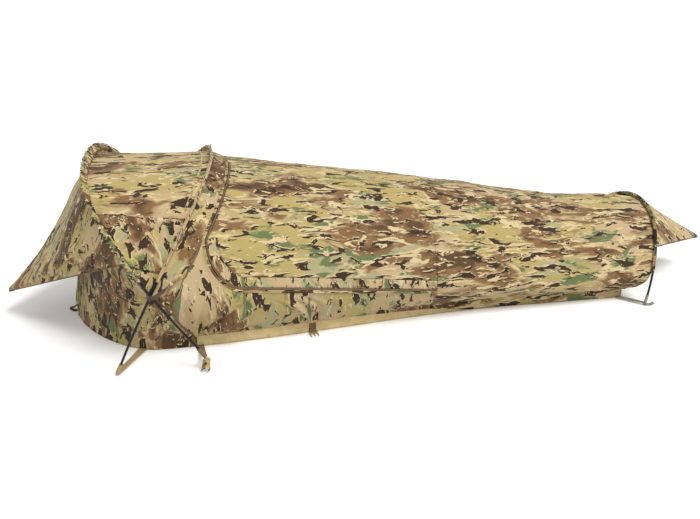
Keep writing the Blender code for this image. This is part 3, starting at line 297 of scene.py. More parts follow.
def sides_of(ring, rows, columns, across, upward):
    """The four sides of a panel's rim, parted where it turns most: bottom, right, top and left."""
    count = len(ring)
    places = [np.array(v.co) for v in ring]

    def turn(k):
        before = places[k] - places[k - 1]
        after = places[(k + 1) % count] - places[k]
        return -float(before @ after / np.linalg.norm(before) / np.linalg.norm(after))

    best = None
    for line in (ring, ring[::-1]):
        for start in range(count):
            marks = [start, start + columns - 1, start + columns + rows - 2, start + 2 * columns + rows - 3]
            sharp = sum(turn(ring.index(line[m % count])) for m in marks)
            lap = line[start:] + line[:start]
            sides = [lap[:columns], lap[columns - 1:columns + rows - 1],
                     lap[columns + rows - 2:2 * columns + rows - 2][::-1],
                     ([lap[0]] + lap[:2 * columns + rows - 4:-1])]
            mean = [sum((v.co for v in side), Vector()) / len(side) for side in sides]
            rightwards, upwards = mean[1] - mean[3], mean[2] - mean[0]
            right_way = rightwards.dot(Vector(across)) >= 0 and upwards.dot(Vector(upward)) >= 0
            if right_way and (best is None or sharp > best[0]):
                best = (sharp, sides)
    return best[1]


def panel_grid(node, rows, columns, across, upward):
    """A CAD panel's middle surface as an array of rows and columns of points."""
    shaped, parts = skins_of(node)
    inner, outer = sorted(parts, key=outwardness)
    ring = rim_loop(outer)
    if len(ring) != 2 * (rows + columns) - 4:
        raise ValueError(f"{node}: {len(ring)} rim points for {rows} rows and {columns} columns")
    bottom, right, top, left = sides_of(ring, rows, columns, across, upward)
    grid = {}
    for j in range(columns):
        grid[0, j] = bottom[j]
        grid[rows - 1, j] = top[j]
    for i in range(rows):
        grid[i, 0] = left[i]
        grid[i, columns - 1] = right[i]
    fill_cells(grid, outer, rows, columns)

    tree = KDTree(len(shaped.verts))
    for vert in {v for face in inner for v in face.verts}:
        tree.insert(vert.co, vert.index)
    tree.balance()
    found = np.full((rows, columns, 3), np.nan)
    for (i, j), vert in grid.items():
        found[i, j] = (vert.co + tree.find(vert.co)[0]) / 2
    shaped.free()
    return found


def fill_cells(grid, part, rows, columns):
    """Steps from known corners of each cell to its unknown corner, over the cell's two triangles."""
    over = {}
    for face in part:
        for edge in face.edges:
            over.setdefault(frozenset(edge.verts), []).append(face)
    used = set()
    cells = {(i, j) for i in range(rows - 1) for j in range(columns - 1)}

    def third(face, a, b):
        return next(v for v in face.verts if v is not a and v is not b)

    changed = True
    while changed:
        changed = False
        for i, j in sorted(cells):
            lap = [(i, j), (i, j + 1), (i + 1, j + 1), (i + 1, j)]
            known = [k for k in range(4) if lap[k] in grid]
            if len(known) < 3:
                continue
            middle = 0 if len(known) == 4 else ({0, 1, 2, 3} - set(known)).pop() ^ 2
            a = grid[lap[middle]]
            b = grid[lap[(middle + 1) % 4]]
            c = grid[lap[(middle + 3) % 4]]
            for face in over.get(frozenset((a, b)), []):
                if face in used:
                    continue
                x = third(face, a, b)
                if x is c:
                    others = [f for f in over.get(frozenset((b, c)), []) if f is not face and f not in used]
                    if not others:
                        continue
                    x = third(others[0], b, c)
                else:
                    others = [f for f in over.get(frozenset((a, x)), []) if f is not face and c in f.verts]
                    if not others:
                        continue
                target = lap[(middle + 2) % 4]
                if target in grid and grid[target] is not x:
                    continue
                grid[target] = x
                used.update((face, others[0]))
                cells.discard((i, j))
                changed = True
                break


PANELS = {
    "near_lower_wall": (6, 18, ALONG, UP),
    "far_wall": (16, 14, ALONG, UP),
    "near_foot_tube": (13, 6, ALONG, UP),
    "far_foot_tube": (16, 6, ALONG, UP),
    "foot_wall": (5, 26, ACROSS, UP),
    "foot_vent_net": (3, 10, ACROSS, UP),
    "head_wall": (7, 23, ACROSS, UP),
    "head_vent_net": (3, 11, ACROSS, UP),
    "roof_panel": (11, 7, ALONG, ACROSS),
    "door_panel": (7, 15, ALONG, UP),
    "door_band": (2, 14, ALONG, UP),
    "head_hood": (5, 17, ACROSS, HEADWARD),
    "foot_hood": (5, 11, ACROSS, ALONG),
}
for side in SIDES:
    PANELS[f"{side}_collar"] = (11, 3, ALONG, UP)
    PANELS[f"{side}_window_net"] = (4, 7, ALONG, UP)
    PANELS[f"{side}_side_wall"] = (3, 7, ALONG, UP)
    PANELS[f"{side}_window_flap"] = (4, 7, ALONG, UP)
seams = {name: panel_grid(name, *how) for name, how in PANELS.items()}
for name, grid in seams.items():
    print(name, grid.shape[:2], "open cells' points", int(np.isnan(grid[..., 0]).sum()))

# %% [markdown]
# ## From rows and columns to smooth cloth
# The CAD points are 20 to 120 mm apart. Cloth between them runs in smooth curves, so each row
# and column becomes a curve that passes through all its points, and the curves are cut into
# steps of a few millimetres. A curve isn't rounded where its line turns sharply, as at the
# corner of the door. Two panels that share a seam share its points, so their edges stay together.

# %% Smooth curves through points
SHARP = 0.45


def along_curve(points, steps):
    """Cuts the curves through the points of the first axis into steps per stretch."""
    length = stretches(points)[..., None] + 1e-9
    way = np.diff(points, axis=0) / length
    slope = np.empty_like(points)
    if len(points) == 2:
        slope[:] = way[0]
    else:
        before, after = way[:-1], way[1:]
        slope[1:-1] = (before * length[1:] + after * length[:-1]) / (length[1:] + length[:-1])
        slope[1:-1] *= np.sum(before * after, axis=-1, keepdims=True) > SHARP
        slope[0] = (3 * way[0] - slope[1]) / 2
        slope[-1] = (3 * way[-1] - slope[-2]) / 2
    t = (np.arange(steps) / steps).reshape((1, -1) + (1,) * (points.ndim - 1))
    out = (
        (2 * t**3 - 3 * t**2 + 1) * points[:-1, None]
        + (t**3 - 2 * t**2 + t) * (slope[:-1] * length)[:, None]
        + (3 * t**2 - 2 * t**3) * points[1:, None]
        + (t**3 - t**2) * (slope[1:] * length)[:, None]
    )
    return np.concatenate([out.reshape((-1,) + points.shape[1:]), points[-1:]])


def refine(grid, step=0.008):
    """A grid cut finer in both directions, and how many steps each cell got."""
    down = max(2, round(float(stretches(grid).mean()) / step))
    across = max(2, round(float(stretches(grid, 1).mean()) / step))
    finer = along_curve(grid, down)
    finer = along_curve(finer.transpose(1, 0, 2), across).transpose(1, 0, 2)
    return finer, down, across


def fine(panel, step=0.008):
    """The fine grid of a panel."""
    return refine(seams[panel], step)[0]


# Each wall's vent is open from one row to another and from one column to another; its net
# lends it the points there, so that the wall can be refined.
VENTS = {"head": (3, 5, 6, 16), "foot": (1, 3, 7, 16)}
for end, (low, high, left, right) in VENTS.items():
    part = seams[f"{end}_wall"][low:high + 1, left:right + 1]
    gap = np.isnan(part)
    part[gap] = seams[f"{end}_vent_net"][gap]
print("finest door step", [len(fine("door_panel")), refine(seams["door_panel"])[1:]])

# %% [markdown]
# ## Folds
# Cloth that is pulled tight between poles still has three kinds of folds: a slow waviness,
# short puckers that start at a seam, and long straight pull lines between two fixed points.
# Each kind is a small function that moves the grid along its own normal, and all of them fade
# out at the seams, so that neighbours stay sewn together.

# %% Folds
ROUGHNESS = 0.7
WAVE_RATIO = 2.1
SEED_STEP = 7.31


def normals_of(grid):
    """The outward normal at each point of a grid."""
    normal = unit(np.cross(np.gradient(grid, axis=1), np.gradient(grid, axis=0)), 1e-12)
    core = 0 * grid
    core[..., 0] = np.clip(grid[..., 0], CORE_HEAD, CORE_FOOT)
    core[..., 2] = CORE_HEIGHT
    return -normal if np.sum(normal * (grid - core)) < 0 else normal


def distances(grid):
    """Distance in metres of each point from the first row, last row, first and last column."""
    low = np.concatenate([np.zeros((1, grid.shape[1])), np.cumsum(stretches(grid), axis=0)])
    left = np.concatenate([np.zeros((grid.shape[0], 1)), np.cumsum(stretches(grid, 1), axis=1)], axis=1)
    return {"first_row": low, "last_row": low[-1:] - low,
            "first_column": left, "last_column": left[:, -1:] - left}


def edge_hold(grid, reach=0.018):
    """0 at the panel's edges, rising to 1 inside."""
    hold = 1.0
    for away in distances(grid).values():
        hold = hold * (1 - np.exp(-(away / reach) ** 2))
    return hold


def noise_field(points, size, seed, octaves=3):
    """Smooth noise from about -1 to 1; size is the length of a wave along each axis."""
    flat = points.reshape(-1, 3) / np.array(size) + seed * SEED_STEP
    values = [noise.fractal(Vector(p), ROUGHNESS, WAVE_RATIO, octaves) for p in flat]
    return np.array(values).reshape(points.shape[:-1])


def wavy(grid, depth, size, seed):
    """Slow waviness all over."""
    return depth * noise_field(grid, size, seed) * edge_hold(grid, 0.03)


def puckers(grid, edge, depth, pitch, reach, seed, spare=0.35):
    """Short folds square to an edge that die out over their reach."""
    away = distances(grid)
    side = away["first_column"] if "row" in edge else away["first_row"]
    gap = away[edge]
    drift = np.stack([side / pitch, gap / reach * spare, np.zeros_like(gap)], axis=-1)
    ridge = noise_field(drift, (1.0, 1.0, 1.0), seed, 2)
    rise = 1 - np.exp(-(gap / 0.006) ** 2)
    return depth * ridge * rise * np.exp(-gap / reach)


def nearest_cell(grid, place):
    """Row and column of the grid's point that is closest to a place."""
    away = np.linalg.norm(grid - np.array(place), axis=-1)
    return np.unravel_index(np.argmin(away), away.shape)


def pull_line(grid, start, end, depth, width, sharp_end=0.35):
    """A fold from one place to another: deepest near its start, wider at its end, a trough on each side."""
    away = distances(grid)
    flat = np.stack([away["first_column"], away["first_row"]], axis=-1)
    a, b = (flat[nearest_cell(grid, place)] for place in (start, end))
    span = b - a
    share = np.clip(((flat - a) @ span) / (span @ span), 0, 1)
    off = np.linalg.norm(flat - (a + share[..., None] * span), axis=-1)
    wide = width * (0.65 + share * 0.9)
    crest = np.exp(-(off / wide) ** 2) - 0.55 * np.exp(-((off - 1.9 * wide) / wide) ** 2)
    fade = np.clip(share / 0.08, 0, 1) * np.clip((1 - share) / sharp_end, 0, 1) ** 0.8
    return depth * crest * fade


def moved(grid, *offsets, hold=0.005):
    """The grid moved along its normals by the sum of the offsets; its edges stay where they are held."""
    total = sum(offsets)
    if hold:
        total = total * edge_hold(grid, hold)
    return grid + normals_of(grid) * total[..., None]


def folded(grid, waves, at_edges=(), pulls=()):
    """The grid with its waves, the puckers at its edges and its pull lines."""
    offsets = [wavy(grid, *waves)]
    offsets += [puckers(grid, *how) for how in at_edges]
    offsets += [pull_line(grid, *how) for how in pulls]
    return moved(grid, *offsets)


print("noise at the middle", round(noise.fractal(Vector((0.3, 0.2, 0.1)), ROUGHNESS, WAVE_RATIO, 3), 3))

# %% [markdown]
# ## Finishes
# The cloth is printed in mixed earth colours: a khaki ground, soft brown and green patches, and
# small hard edged streaks of dark brown and cream. Each colour is one noise texture that is cut
# off at a level and laid over the last. The print runs along the tent on the roof, the door and
# the tube, and upright on the lower walls and the flaps, because those were cut across the roll.

# %% Colour and node helpers
def tone(code):
    """A colour from its usual hex code, turned to the linear values that shaders work with."""
    parts = [int(code[k:k + 2], 16) / 255 for k in (0, 2, 4)]
    return tuple(c / 12.92 if c <= 0.04045 else ((c + 0.055) / 1.055) ** 2.4 for c in parts) + (1.0,)


class Finish:
    """A Principled material that grows node by node."""

    def __init__(self, name, roughness, metallic=0.0, sheen=0.0):
        self.material = bpy.data.materials.new(name)
        self.tree = nodes_of(self.material)
        self.shader = self.add("BsdfPrincipled", Roughness=roughness, Metallic=metallic, Sheen_Weight=sheen)
        self.add("OutputMaterial", Surface=self.shader.outputs[0])
        self.place = self.add("TexCoord").outputs["Object"]

    def add(self, kind, **inputs):
        """Adds a node to the material."""
        return add_node(self.tree, kind, **inputs)

    def stretched(self, scale, shift=0.0, turn=(0.0, 0.0, 0.0), nudge=0.0):
        """Object coordinates, stretched and moved so that no two layers look alike."""
        mapping = self.add("Mapping")
        mapping.vector_type = "TEXTURE"
        place = (shift + nudge * 0.5, shift * 0.7, shift * 1.3 + nudge)
        sizes = [1 / k for k in scale]
        feed(mapping, {"Scale": sizes, "Rotation": turn, "Location": place, "Vector": self.place})
        return mapping.outputs[0]

    def level(self, value, low, high):
        """0 where a value is at low and 1 where it is at high."""
        return self.add("MapRange", From_Min=low, From_Max=high, Value=value).outputs["Result"]

    def patches(self, where, size, low, high, detail=3.0, rough=0.55, warp=0.8):
        """A mask that is 0 where the noise is under low and 1 where it is over high."""
        texture = self.add(
            "TexNoise", Vector=where, Scale=1 / size, Detail=detail, Roughness=rough, Distortion=warp)
        return self.level(texture.outputs["Fac"], low, high)

    def near_to(self, place, full, none):
        """A mask that is 1 within a distance of a place and fades to 0 at a second distance."""
        away = self.add("VectorMath")
        away.operation = "DISTANCE"
        feed(away, {0: self.place, 1: place})
        return self.level(away.outputs["Value"], none, full)

    def over(self, below, colour, mask):
        """A colour laid over what is below, where the mask is 1."""
        mix = self.add("Mix")
        mix.data_type = "RGBA"
        return feed(mix, {"Factor": mask, "A": below, "B": colour}).outputs["Result"]

    def weave(self, pitch, depth, crumple=0.0):
        """Bump of crossed threads, with a soft crumple over it."""
        threads = None
        for direction in ("X", "Y", "Z"):
            wave = self.add("TexWave", Scale=0.314 / pitch, Distortion=0.4, Vector=self.place)
            wave.bands_direction = direction
            if threads is None:
                threads = wave.outputs["Fac"]
            else:
                both = feed(self.add("Math"), {0: threads, 1: wave.outputs["Fac"]})
                both.operation = "ADD"
                threads = both.outputs[0]
        bump = self.add("Bump", Distance=depth, Strength=0.5, Height=threads)
        if crumple:
            rough = self.add("TexNoise", Scale=42.0, Detail=4.0, Distortion=0.9, Vector=self.place)
            bump = self.add("Bump", Distance=crumple, Strength=0.6, Height=rough.outputs["Fac"],
                            Normal=bump.outputs[0])
        feed(self.shader, {"Normal": bump.outputs[0]})


print("khaki in linear light", [round(c, 3) for c in tone("c3b47c")])

# %% The printed cloth
KHAKI = tone("bba868")
SAND = tone("c9b086")
CREAM = tone("dfca9a")
EARTH = tone("886640")
LOAM = tone("5c4326")
BARK = tone("35220e")
MOSS = tone("6c7a4c")
MOSS_DARK = tone("3c4228")
LICHEN = tone("b0aa7e")
HEAD_TIP = (-1.498, 0.0, 0.124)
FOOT_TIP = (1.876, 0.0, 0.161)

# colour, size of its patches, levels where it starts and is full, detail, roughness, swirl, place, nudge
LAYERS = {
    "sand": (SAND, 0.20, 0.46, 0.58, 2.0, 0.50, 0.4, 0.0, 0.0),
    "lichen": (LICHEN, 0.09, 0.56, 0.62, 3.0, 0.55, 0.4, 3.1, 0.0),
    "moss": (MOSS, 0.065, 0.565, 0.60, 4.0, 0.60, 0.5, 12.4, 0.0),
    "earth rim": (CREAM, 0.11, 0.525, 0.535, 4.0, 0.60, 0.5, 7.7, 0.007),
    "earth": (EARTH, 0.11, 0.512, 0.57, 4.0, 0.60, 0.5, 7.7, 0.0),
    "loam": (LOAM, 0.11, 0.59, 0.63, 4.0, 0.60, 0.5, 7.7, 0.006),
    "bark rim": (CREAM, 0.027, 0.574, 0.582, 3.0, 0.56, 0.7, 17.9, 0.0042),
    "bark": (BARK, 0.027, 0.571, 0.579, 3.0, 0.56, 0.7, 17.9, 0.0),
    "cream": (CREAM, 0.028, 0.625, 0.635, 3.0, 0.55, 0.5, 23.3, 0.0),
    "speck": (CREAM, 0.011, 0.70, 0.71, 2.0, 0.50, 0.1, 29.9, 0.0),
}


def printed_cloth(name, stretch, shift, lean=0.0, scale=1.0, tip=None, **more):
    """Cloth with a generic print of earth colours, drawn out along one direction; more widens a colour."""
    made = Finish(name, 0.85, sheen=0.03)
    shown = KHAKI
    for layer, (tint, size, low, high, detail, rough, swirl, place, nudge) in LAYERS.items():
        gain = more.get(layer.split()[0], 0.0)
        where = made.stretched(stretch, shift + place, (0.0, lean, 0.0), nudge * scale)
        mask = made.patches(where, size * scale, low - gain, high - gain, detail, rough, swirl)
        shown = made.over(shown, tint, mask)
    if tip:
        shown = made.over(shown, MOSS_DARK, made.near_to(*tip))
    feed(made.shader, {"Base Color": shown})
    made.weave(0.0009, 0.00012, 0.0016)
    return made.material


def upright(share):
    """A print that is drawn out upwards."""
    return (1.0, 1.0, share)


PRINT_ALONG = printed_cloth(
    "print_along", (0.28, 1.0, 1.0), 0.0, scale=1.05, moss=0.008, bark=0.007, cream=0.012, earth=0.012)
PRINT_ROOF = printed_cloth("print_roof", (0.34, 1.0, 1.0), 11.0, scale=1.45, moss=0.01, cream=0.01)
PRINT_LOWER = printed_cloth(
    "print_lower", upright(0.28), 31.0, scale=1.3,
    sand=0.03, lichen=0.05, earth=-0.015, loam=-0.02, moss=-0.02, bark=-0.012, cream=-0.02)
PRINT_BAND = printed_cloth("print_band", upright(0.40), 37.0, scale=1.15, sand=0.05, lichen=0.03)
PRINT_WALL = printed_cloth(
    "print_wall", upright(0.42), 43.0, 0.25, 1.35,
    bark=0.030, earth=0.04, loam=0.03, sand=-0.03, cream=-0.02, moss=0.015)
# Print of the collars, darkened with painted shade: the earth, loam and moss patches are widened to stand for
# the shade on the gusset beside the sleeve.
PRINT_COLLAR_AND_SHADE = printed_cloth(
    "print_collar_and_shade", upright(0.45), 71.0, 0.45, 1.35, moss=0.03, loam=0.03, earth=0.03, bark=0.008)
# Print of the flaps, darkened with painted shade: the earth, loam, moss and dark streaks are widened to stand
# for the shade under the roof's hem; the pale lichen is the flap's own colour.
PRINT_FLAP_AND_SHADE = printed_cloth(
    "print_flap", upright(0.30), 63.0, scale=1.3,
    lichen=0.05, moss=0.03, bark=0.014, earth=0.03, loam=0.04, cream=-0.03)
PRINT_HEAD_HOOD = printed_cloth(
    "print_head_hood", upright(0.26), 57.0, 0.62, 1.1, (HEAD_TIP, 0.012, 0.040), sand=0.06, earth=-0.01)
PRINT_FOOT_HOOD = printed_cloth(
    "print_foot_hood", upright(0.26), 59.0, -1.0, 1.1, (FOOT_TIP, 0.030, 0.095),
    sand=0.10, earth=-0.02, moss=-0.02)
PRINT_EDGE = printed_cloth(
    "print_edge", upright(0.22), 91.0, 0.53, 0.5,
    sand=0.30, lichen=-0.09, earth=-0.09, loam=-0.09, moss=-0.09, cream=0.04)
# Print of the green sleeves, darkened with painted shade: the moss and dark streaks are widened to stand for
# the shade in the pleated fins.
PRINT_GREEN_AND_SHADE = printed_cloth(
    "print_green_and_shade", (0.9, 0.9, 0.7), 83.0, scale=1.2, moss=0.07, bark=0.02, lichen=0.03)
print("prints", [m.name for m in bpy.data.materials if m.name.startswith("print_")])

# %% [markdown]
# Tapes, webbing and the coated floor cloth are one colour each with a woven rib, a little
# uneven from wear. The net is dark and thin enough to see through. Poles are black with a
# satin gloss, and the buckle and zip parts are moulded plastic.

# %% Plain finishes
def plain(name, dark, light, roughness, pitch=0.0012, depth=0.0002, size=0.05, crumple=0.0, sheen=0.1):
    """One colour that drifts between two tones, with a woven or grained surface."""
    made = Finish(name, roughness, sheen=sheen)
    where = made.stretched((1.0, 1.0, 1.0), 1.7)
    shown = made.over(tone(dark), tone(light), made.patches(where, size, 0.35, 0.65, 5.0))
    feed(made.shader, {"Base Color": shown})
    made.weave(pitch, depth, crumple)
    return made.material


BINDING = plain("binding_tape", "6b5036", "836443", 0.75)
DARK_TAPE = plain("dark_tape", "4a3a26", "5c482f", 0.8)
TAN_CLOTH = plain("tan_floor_cloth", "d6bc84", "e8d29c", 0.6, 0.0009, 0.0001, 0.04, 0.008)
LINING = plain("coated_inside", "8c7a58", "9c8a66", 0.55, 0.0009, 0.0001, 0.1, 0.001)
WEBBING_GREY = plain("grey_webbing_tape", "8a867a", "a39f92", 0.7, 0.0014, 0.0003)
WEBBING_BROWN = plain("brown_webbing_tape", "6f5738", "876b45", 0.75, 0.0014, 0.0003)
WEBBING_TAN = plain("tan_webbing_tape", "a48c5c", "bda572", 0.7, 0.0014, 0.0003)
TAN_PLASTIC = plain("tan_plastic", "ae9468", "bda578", 0.42, 0.0006, 0.00004, 0.02, sheen=0.0)
DARK_PLASTIC = plain("dark_plastic", "3b2e20", "4a3a28", 0.45, 0.0006, 0.00004, 0.02, sheen=0.0)
ZIP_PLASTIC = plain("zip_plastic", "8a7850", "968458", 0.5, 0.0006, 0.00004, 0.02, sheen=0.0)
THREAD = plain("thread", "5f4a2e", "7a6140", 0.8, 0.0006, 0.0001)
NETTING = plain("dark_net", "4c4430", "665a3e", 0.9, 0.0012, 0.0004)
NETTING.node_tree.nodes["Principled BSDF"].inputs["Alpha"].default_value = 0.88

# The poles are black anodised tube, with faint scuffs in their gloss.
black = Finish("black_pole", 0.32, metallic=0.55)
scuff = black.patches(black.stretched((1.0, 1.0, 1.0)), 0.012, 0.3, 0.7, 4.0)
gloss = black.add("MapRange", To_Min=0.26, To_Max=0.42, Value=scuff)
feed(black.shader, {"Base Color": tone("1d1d1f"), "Roughness": gloss.outputs["Result"]})
BLACK_POLE = black.material
print("finishes", len(bpy.data.materials))

# %% [markdown]
# ## Sewing a panel
# A sewn panel is a mesh of its fine grid with a real thickness. Its outside shows the print and
# its inside the plain coating. The same step ties it to the body it moves with, hides the CAD solid
# that it takes the place of, and notes what size the cloth was cut to.

# %% Sewing a panel
ALLOWANCE = 0.0010
cut = []


def grid_mesh(name, grid, wrap=False, skip=None):
    """A mesh over a grid of points, facing outwards; cells in skip stay open."""
    rows, columns = grid.shape[:2]
    faces = []
    for i in range(rows - 1):
        for j in range(columns if wrap else columns - 1):
            if skip and skip[0] <= i < skip[1] and skip[2] <= j < skip[3]:
                continue
            here, beside = i * columns + j, i * columns + (j + 1) % columns
            faces.append((here, beside, beside + columns, here + columns))
    mesh = bpy.data.meshes.new(name)
    mesh.from_pydata(grid.reshape(-1, 3).tolist(), [], faces)

    def drop_loose(shaped):
        bmesh.ops.delete(shaped, geom=[v for v in shaped.verts if not v.link_faces], context="VERTS")

    return rework(mesh, drop_loose)


def turn_to(mesh, way):
    """Turns the faces over if the middle one looks away from the way that is given for it."""
    middle = mesh.polygons[len(mesh.polygons) // 2]
    if Vector(way(middle)).dot(middle.normal) < 0:
        mesh.flip_normals()


def dress(name, mesh, materials, body, nodes=()):
    """Makes the object, ties it to the body it moves with, gives its finishes and hides the CAD parts it
    takes the place of.
    """
    piece = bpy.data.objects.new(name, mesh)
    scene.collection.objects.link(piece)
    for material in materials:
        mesh.materials.append(material)
    mesh.shade_smooth()
    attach(piece, body)
    if nodes:
        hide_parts(*nodes)
    return piece


def thicken(piece, thickness, offset=0.0, inside=0):
    """Gives a sheet its thickness; inside is how many finishes further its inside is."""
    solid = piece.modifiers.new("thickness", "SOLIDIFY")
    solid.thickness = thickness
    solid.offset = offset
    solid.material_offset = inside


def with_allowance(grid):
    """A panel with all its edges let out by the seam's allowance, so that no light shows between panels."""
    out = grid.copy()
    for edge, inner in ((0, 1), (-1, -2)):
        for cells in (out, out.transpose(1, 0, 2)):
            cells[edge] += unit(cells[edge] - cells[inner], 1e-9) * ALLOWANCE
    return out


def let_out(grid, toward, spare):
    """A panel whose edge on one side is let out, to tuck under its neighbour."""
    out = grid.copy()
    turned = out.transpose(1, 0, 2)
    from_edges = (out, out[::-1], turned, turned[::-1])
    cells = max(from_edges, key=lambda part: part[0].mean(axis=0) @ np.array(toward))
    cells[0] += unit(cells[0] - cells[1], 1e-9) * spare
    return out


def sew(name, grid, material, body="shell", nodes=(), thick=0.0007, skip=None, lining=None,
        held="stretched"):
    """Sews a panel of cloth from its fine grid."""
    if body == "shell" and held == "stretched":
        grid = with_allowance(grid)
    mesh = grid_mesh(name, grid, skip=skip)
    turn_to(mesh, lambda middle: normals_of(grid)[nearest_cell(grid, middle.center)])
    piece = dress(name, mesh, [material, lining or LINING], body, nodes)
    thicken(piece, thick, inside=1)
    wide = float(stretches(grid, 1).sum(axis=1).max())
    tall = float(stretches(grid).sum(axis=0).max())
    area = min(sum(p.area for p in mesh.polygons), wide * tall)
    cut.append((name, round(wide, 3), round(tall, 3), round(area, 3)))


def sew_folded(name, node, material, step, waves, at_edges=(), pulls=(), spare=None, body="shell"):
    """Folds a panel and sews it, with one edge let out where spare says so; gives the folded grid."""
    grid = folded(fine(node, step), waves, at_edges, pulls)
    sew(name, let_out(grid, *spare) if spare else grid, material, body, nodes=[node])
    return grid


def sew_net(name, grid, node):
    """Sews a panel of net, which looks the same from both sides."""
    sew(name, grid, NETTING, nodes=[node], lining=NETTING)


print("seam allowance", ALLOWANCE)

# %% [markdown]
# ## The roof and the walls at the head
# The roof is pulled flat between the two crossed hoops, so it has only slow waves, and short
# gathers above its hem where the flap is sewn under it. The end wall below is slack: it hangs
# in upright folds from the hoop to the floor.

# %% Roof panel
roof = sew_folded(
    "roof_cloth", "roof_panel", PRINT_ROOF, 0.008, (0.0030, (0.30, 0.09, 0.2), 1.0),
    [("first_row", 0.0035, 0.016, 0.030, 2.0), ("last_row", 0.0022, 0.016, 0.030, 3.0),
     ("first_column", 0.0016, 0.020, 0.022, 4.0), ("last_column", 0.0045, 0.022, 0.050, 5.0)])
print("roof", roof.shape)

# %% End wall at the head, with its vent
def sew_end_wall(end, material, spare, *folds):
    """An end wall and its net; the wall stays as drawn round the net, and its top edge is let out."""
    wall, down, across = refine(seams[f"{end}_wall"], 0.010)
    low, high, left, right = np.array(VENTS[end]) * (down, down, across, across)
    vent = np.s_[low:high + 1, left:right + 1]
    shaped = folded(wall, *folds)
    shaped[vent] = wall[vent]
    sew(f"{end}_wall_cloth", let_out(shaped, UP, spare), material, nodes=[f"{end}_wall"],
        skip=(low, high, left, right))
    sew_net(f"{end}_net", wall[vent], f"{end}_vent_net")
    print(end, "wall", shaped.shape)


sew_end_wall(
    "head", PRINT_WALL, 0.004, (0.0080, (0.13, 0.13, 0.30), 11.0),
    [("last_row", 0.006, 0.045, 0.12, 12.0), ("first_row", 0.004, 0.030, 0.05, 13.0)],
    [((-0.86, -0.57, 0.31), (-1.02, -0.38, 0.05), 0.011, 0.018),
     ((-0.80, -0.56, 0.30), (-0.80, -0.455, 0.05), -0.009, 0.018),
     ((-0.86, 0.57, 0.31), (-1.02, 0.38, 0.05), 0.011, 0.018)])

# %% [markdown]
# ## Side windows and their flaps
# Between the hoops each side has a net window. A flap of cloth hangs over it from the roof's
# hem, with a deep soft fold where the flap is too wide for the narrowing space below.

# %% Side windows and flaps
for side in SIDES:
    sew_net(f"{side}_window_netting", fine(f"{side}_window_net"), f"{side}_window_net")
    sew_folded(
        f"{side}_side_wall_cloth", f"{side}_side_wall", PRINT_WALL, 0.008, (0.005, (0.06, 0.1, 0.12), 21.0),
        [("last_row", 0.002, 0.02, 0.03, 22.0)], spare=(HEADWARD, 0.012))
    flap = seams[f"{side}_window_flap"].copy()
    for edge, inner in ((0, 1), (-1, -2)):
        flap[:, edge] += unit(flap[:, edge] - flap[:, inner]) * 0.009
    flap[0] += unit(flap[0] - flap[1]) * 0.013
    flap = refine(flap, 0.006)[0]
    rows, columns = flap.shape[:2]
    top_right = flap[-1, int(columns * 0.80)]
    top_left = flap[-1, int(columns * 0.42)]
    low_right = flap[int(rows * 0.05), int(columns * 0.92)]
    dip = flap[int(rows * 0.30), int(columns * 0.66)]
    hang = 1 - np.exp(-(distances(flap)["last_row"] / 0.02) ** 2)
    flap = moved(
        flap,
        hang * (0.006 + wavy(flap, 0.007, (0.06, 0.1, 0.12), 23.0)),
        hang * pull_line(flap, top_right, dip, 0.013, 0.017, 0.6),
        hang * pull_line(flap, top_left, dip, 0.011, 0.015, 0.6),
        hang * pull_line(flap, low_right, dip, 0.009, 0.013, 0.6),
        puckers(flap, "last_row", 0.0030, 0.014, 0.035, 24.0),
        hold=0,
    )
    sew(f"{side}_flap", flap, PRINT_FLAP_AND_SHADE, f"{side}_flap", nodes=[f"{side}_window_flap"], held="hung")
print("flap", flap.shape)

# %% [markdown]
# ## The collar
# A narrow gusset of cloth joins the rear hoop's sleeve to the door. It has no pole of its own,
# so it shows the most irregular folds of the whole tent.

# %% Collars
for side in SIDES:
    collar = sew_folded(
        f"{side}_collar_cloth", f"{side}_collar", PRINT_COLLAR_AND_SHADE, 0.007, (0.0120, (0.05, 0.05, 0.07), 31.0),
        [("first_column", 0.006, 0.025, 0.04, 32.0), ("last_column", 0.005, 0.03, 0.04, 33.0)],
        spare=((0, 0, -1), 0.010))
print("collar", collar.shape)

# %% [markdown]
# ## The long walls and the tube
# The near wall under the door hangs from the zip to the floor in upright folds, and pull lines
# fan out to the places where it is held: the corner strap and the buckle tab. The far wall and
# the two halves of the tube are pulled along the tent and show long flat waves.

# %% Near lower wall
CORNER = (-0.675, -0.455, 0.05)
TAB = (-0.184, -0.43, 0.05)
lower = sew_folded(
    "near_lower_cloth", "near_lower_wall", PRINT_LOWER, 0.0055, (0.0075, (0.08, 0.12, 0.35), 41.0),
    [("first_row", 0.006, 0.030, 0.06, 42.0)],
    [(CORNER, (-0.60, -0.50, 0.30), 0.013, 0.014),
     (CORNER, (-0.52, -0.49, 0.26), -0.010, 0.014),
     (CORNER, (-0.66, -0.56, 0.30), 0.011, 0.014),
     (CORNER, (-0.44, -0.49, 0.20), 0.010, 0.014),
     (TAB, (-0.33, -0.47, 0.22), 0.013, 0.014),
     (TAB, (-0.24, -0.45, 0.22), -0.010, 0.012),
     (TAB, (-0.10, -0.45, 0.20), 0.010, 0.013)], (HEADWARD, 0.006))
print("near lower wall", lower.shape)

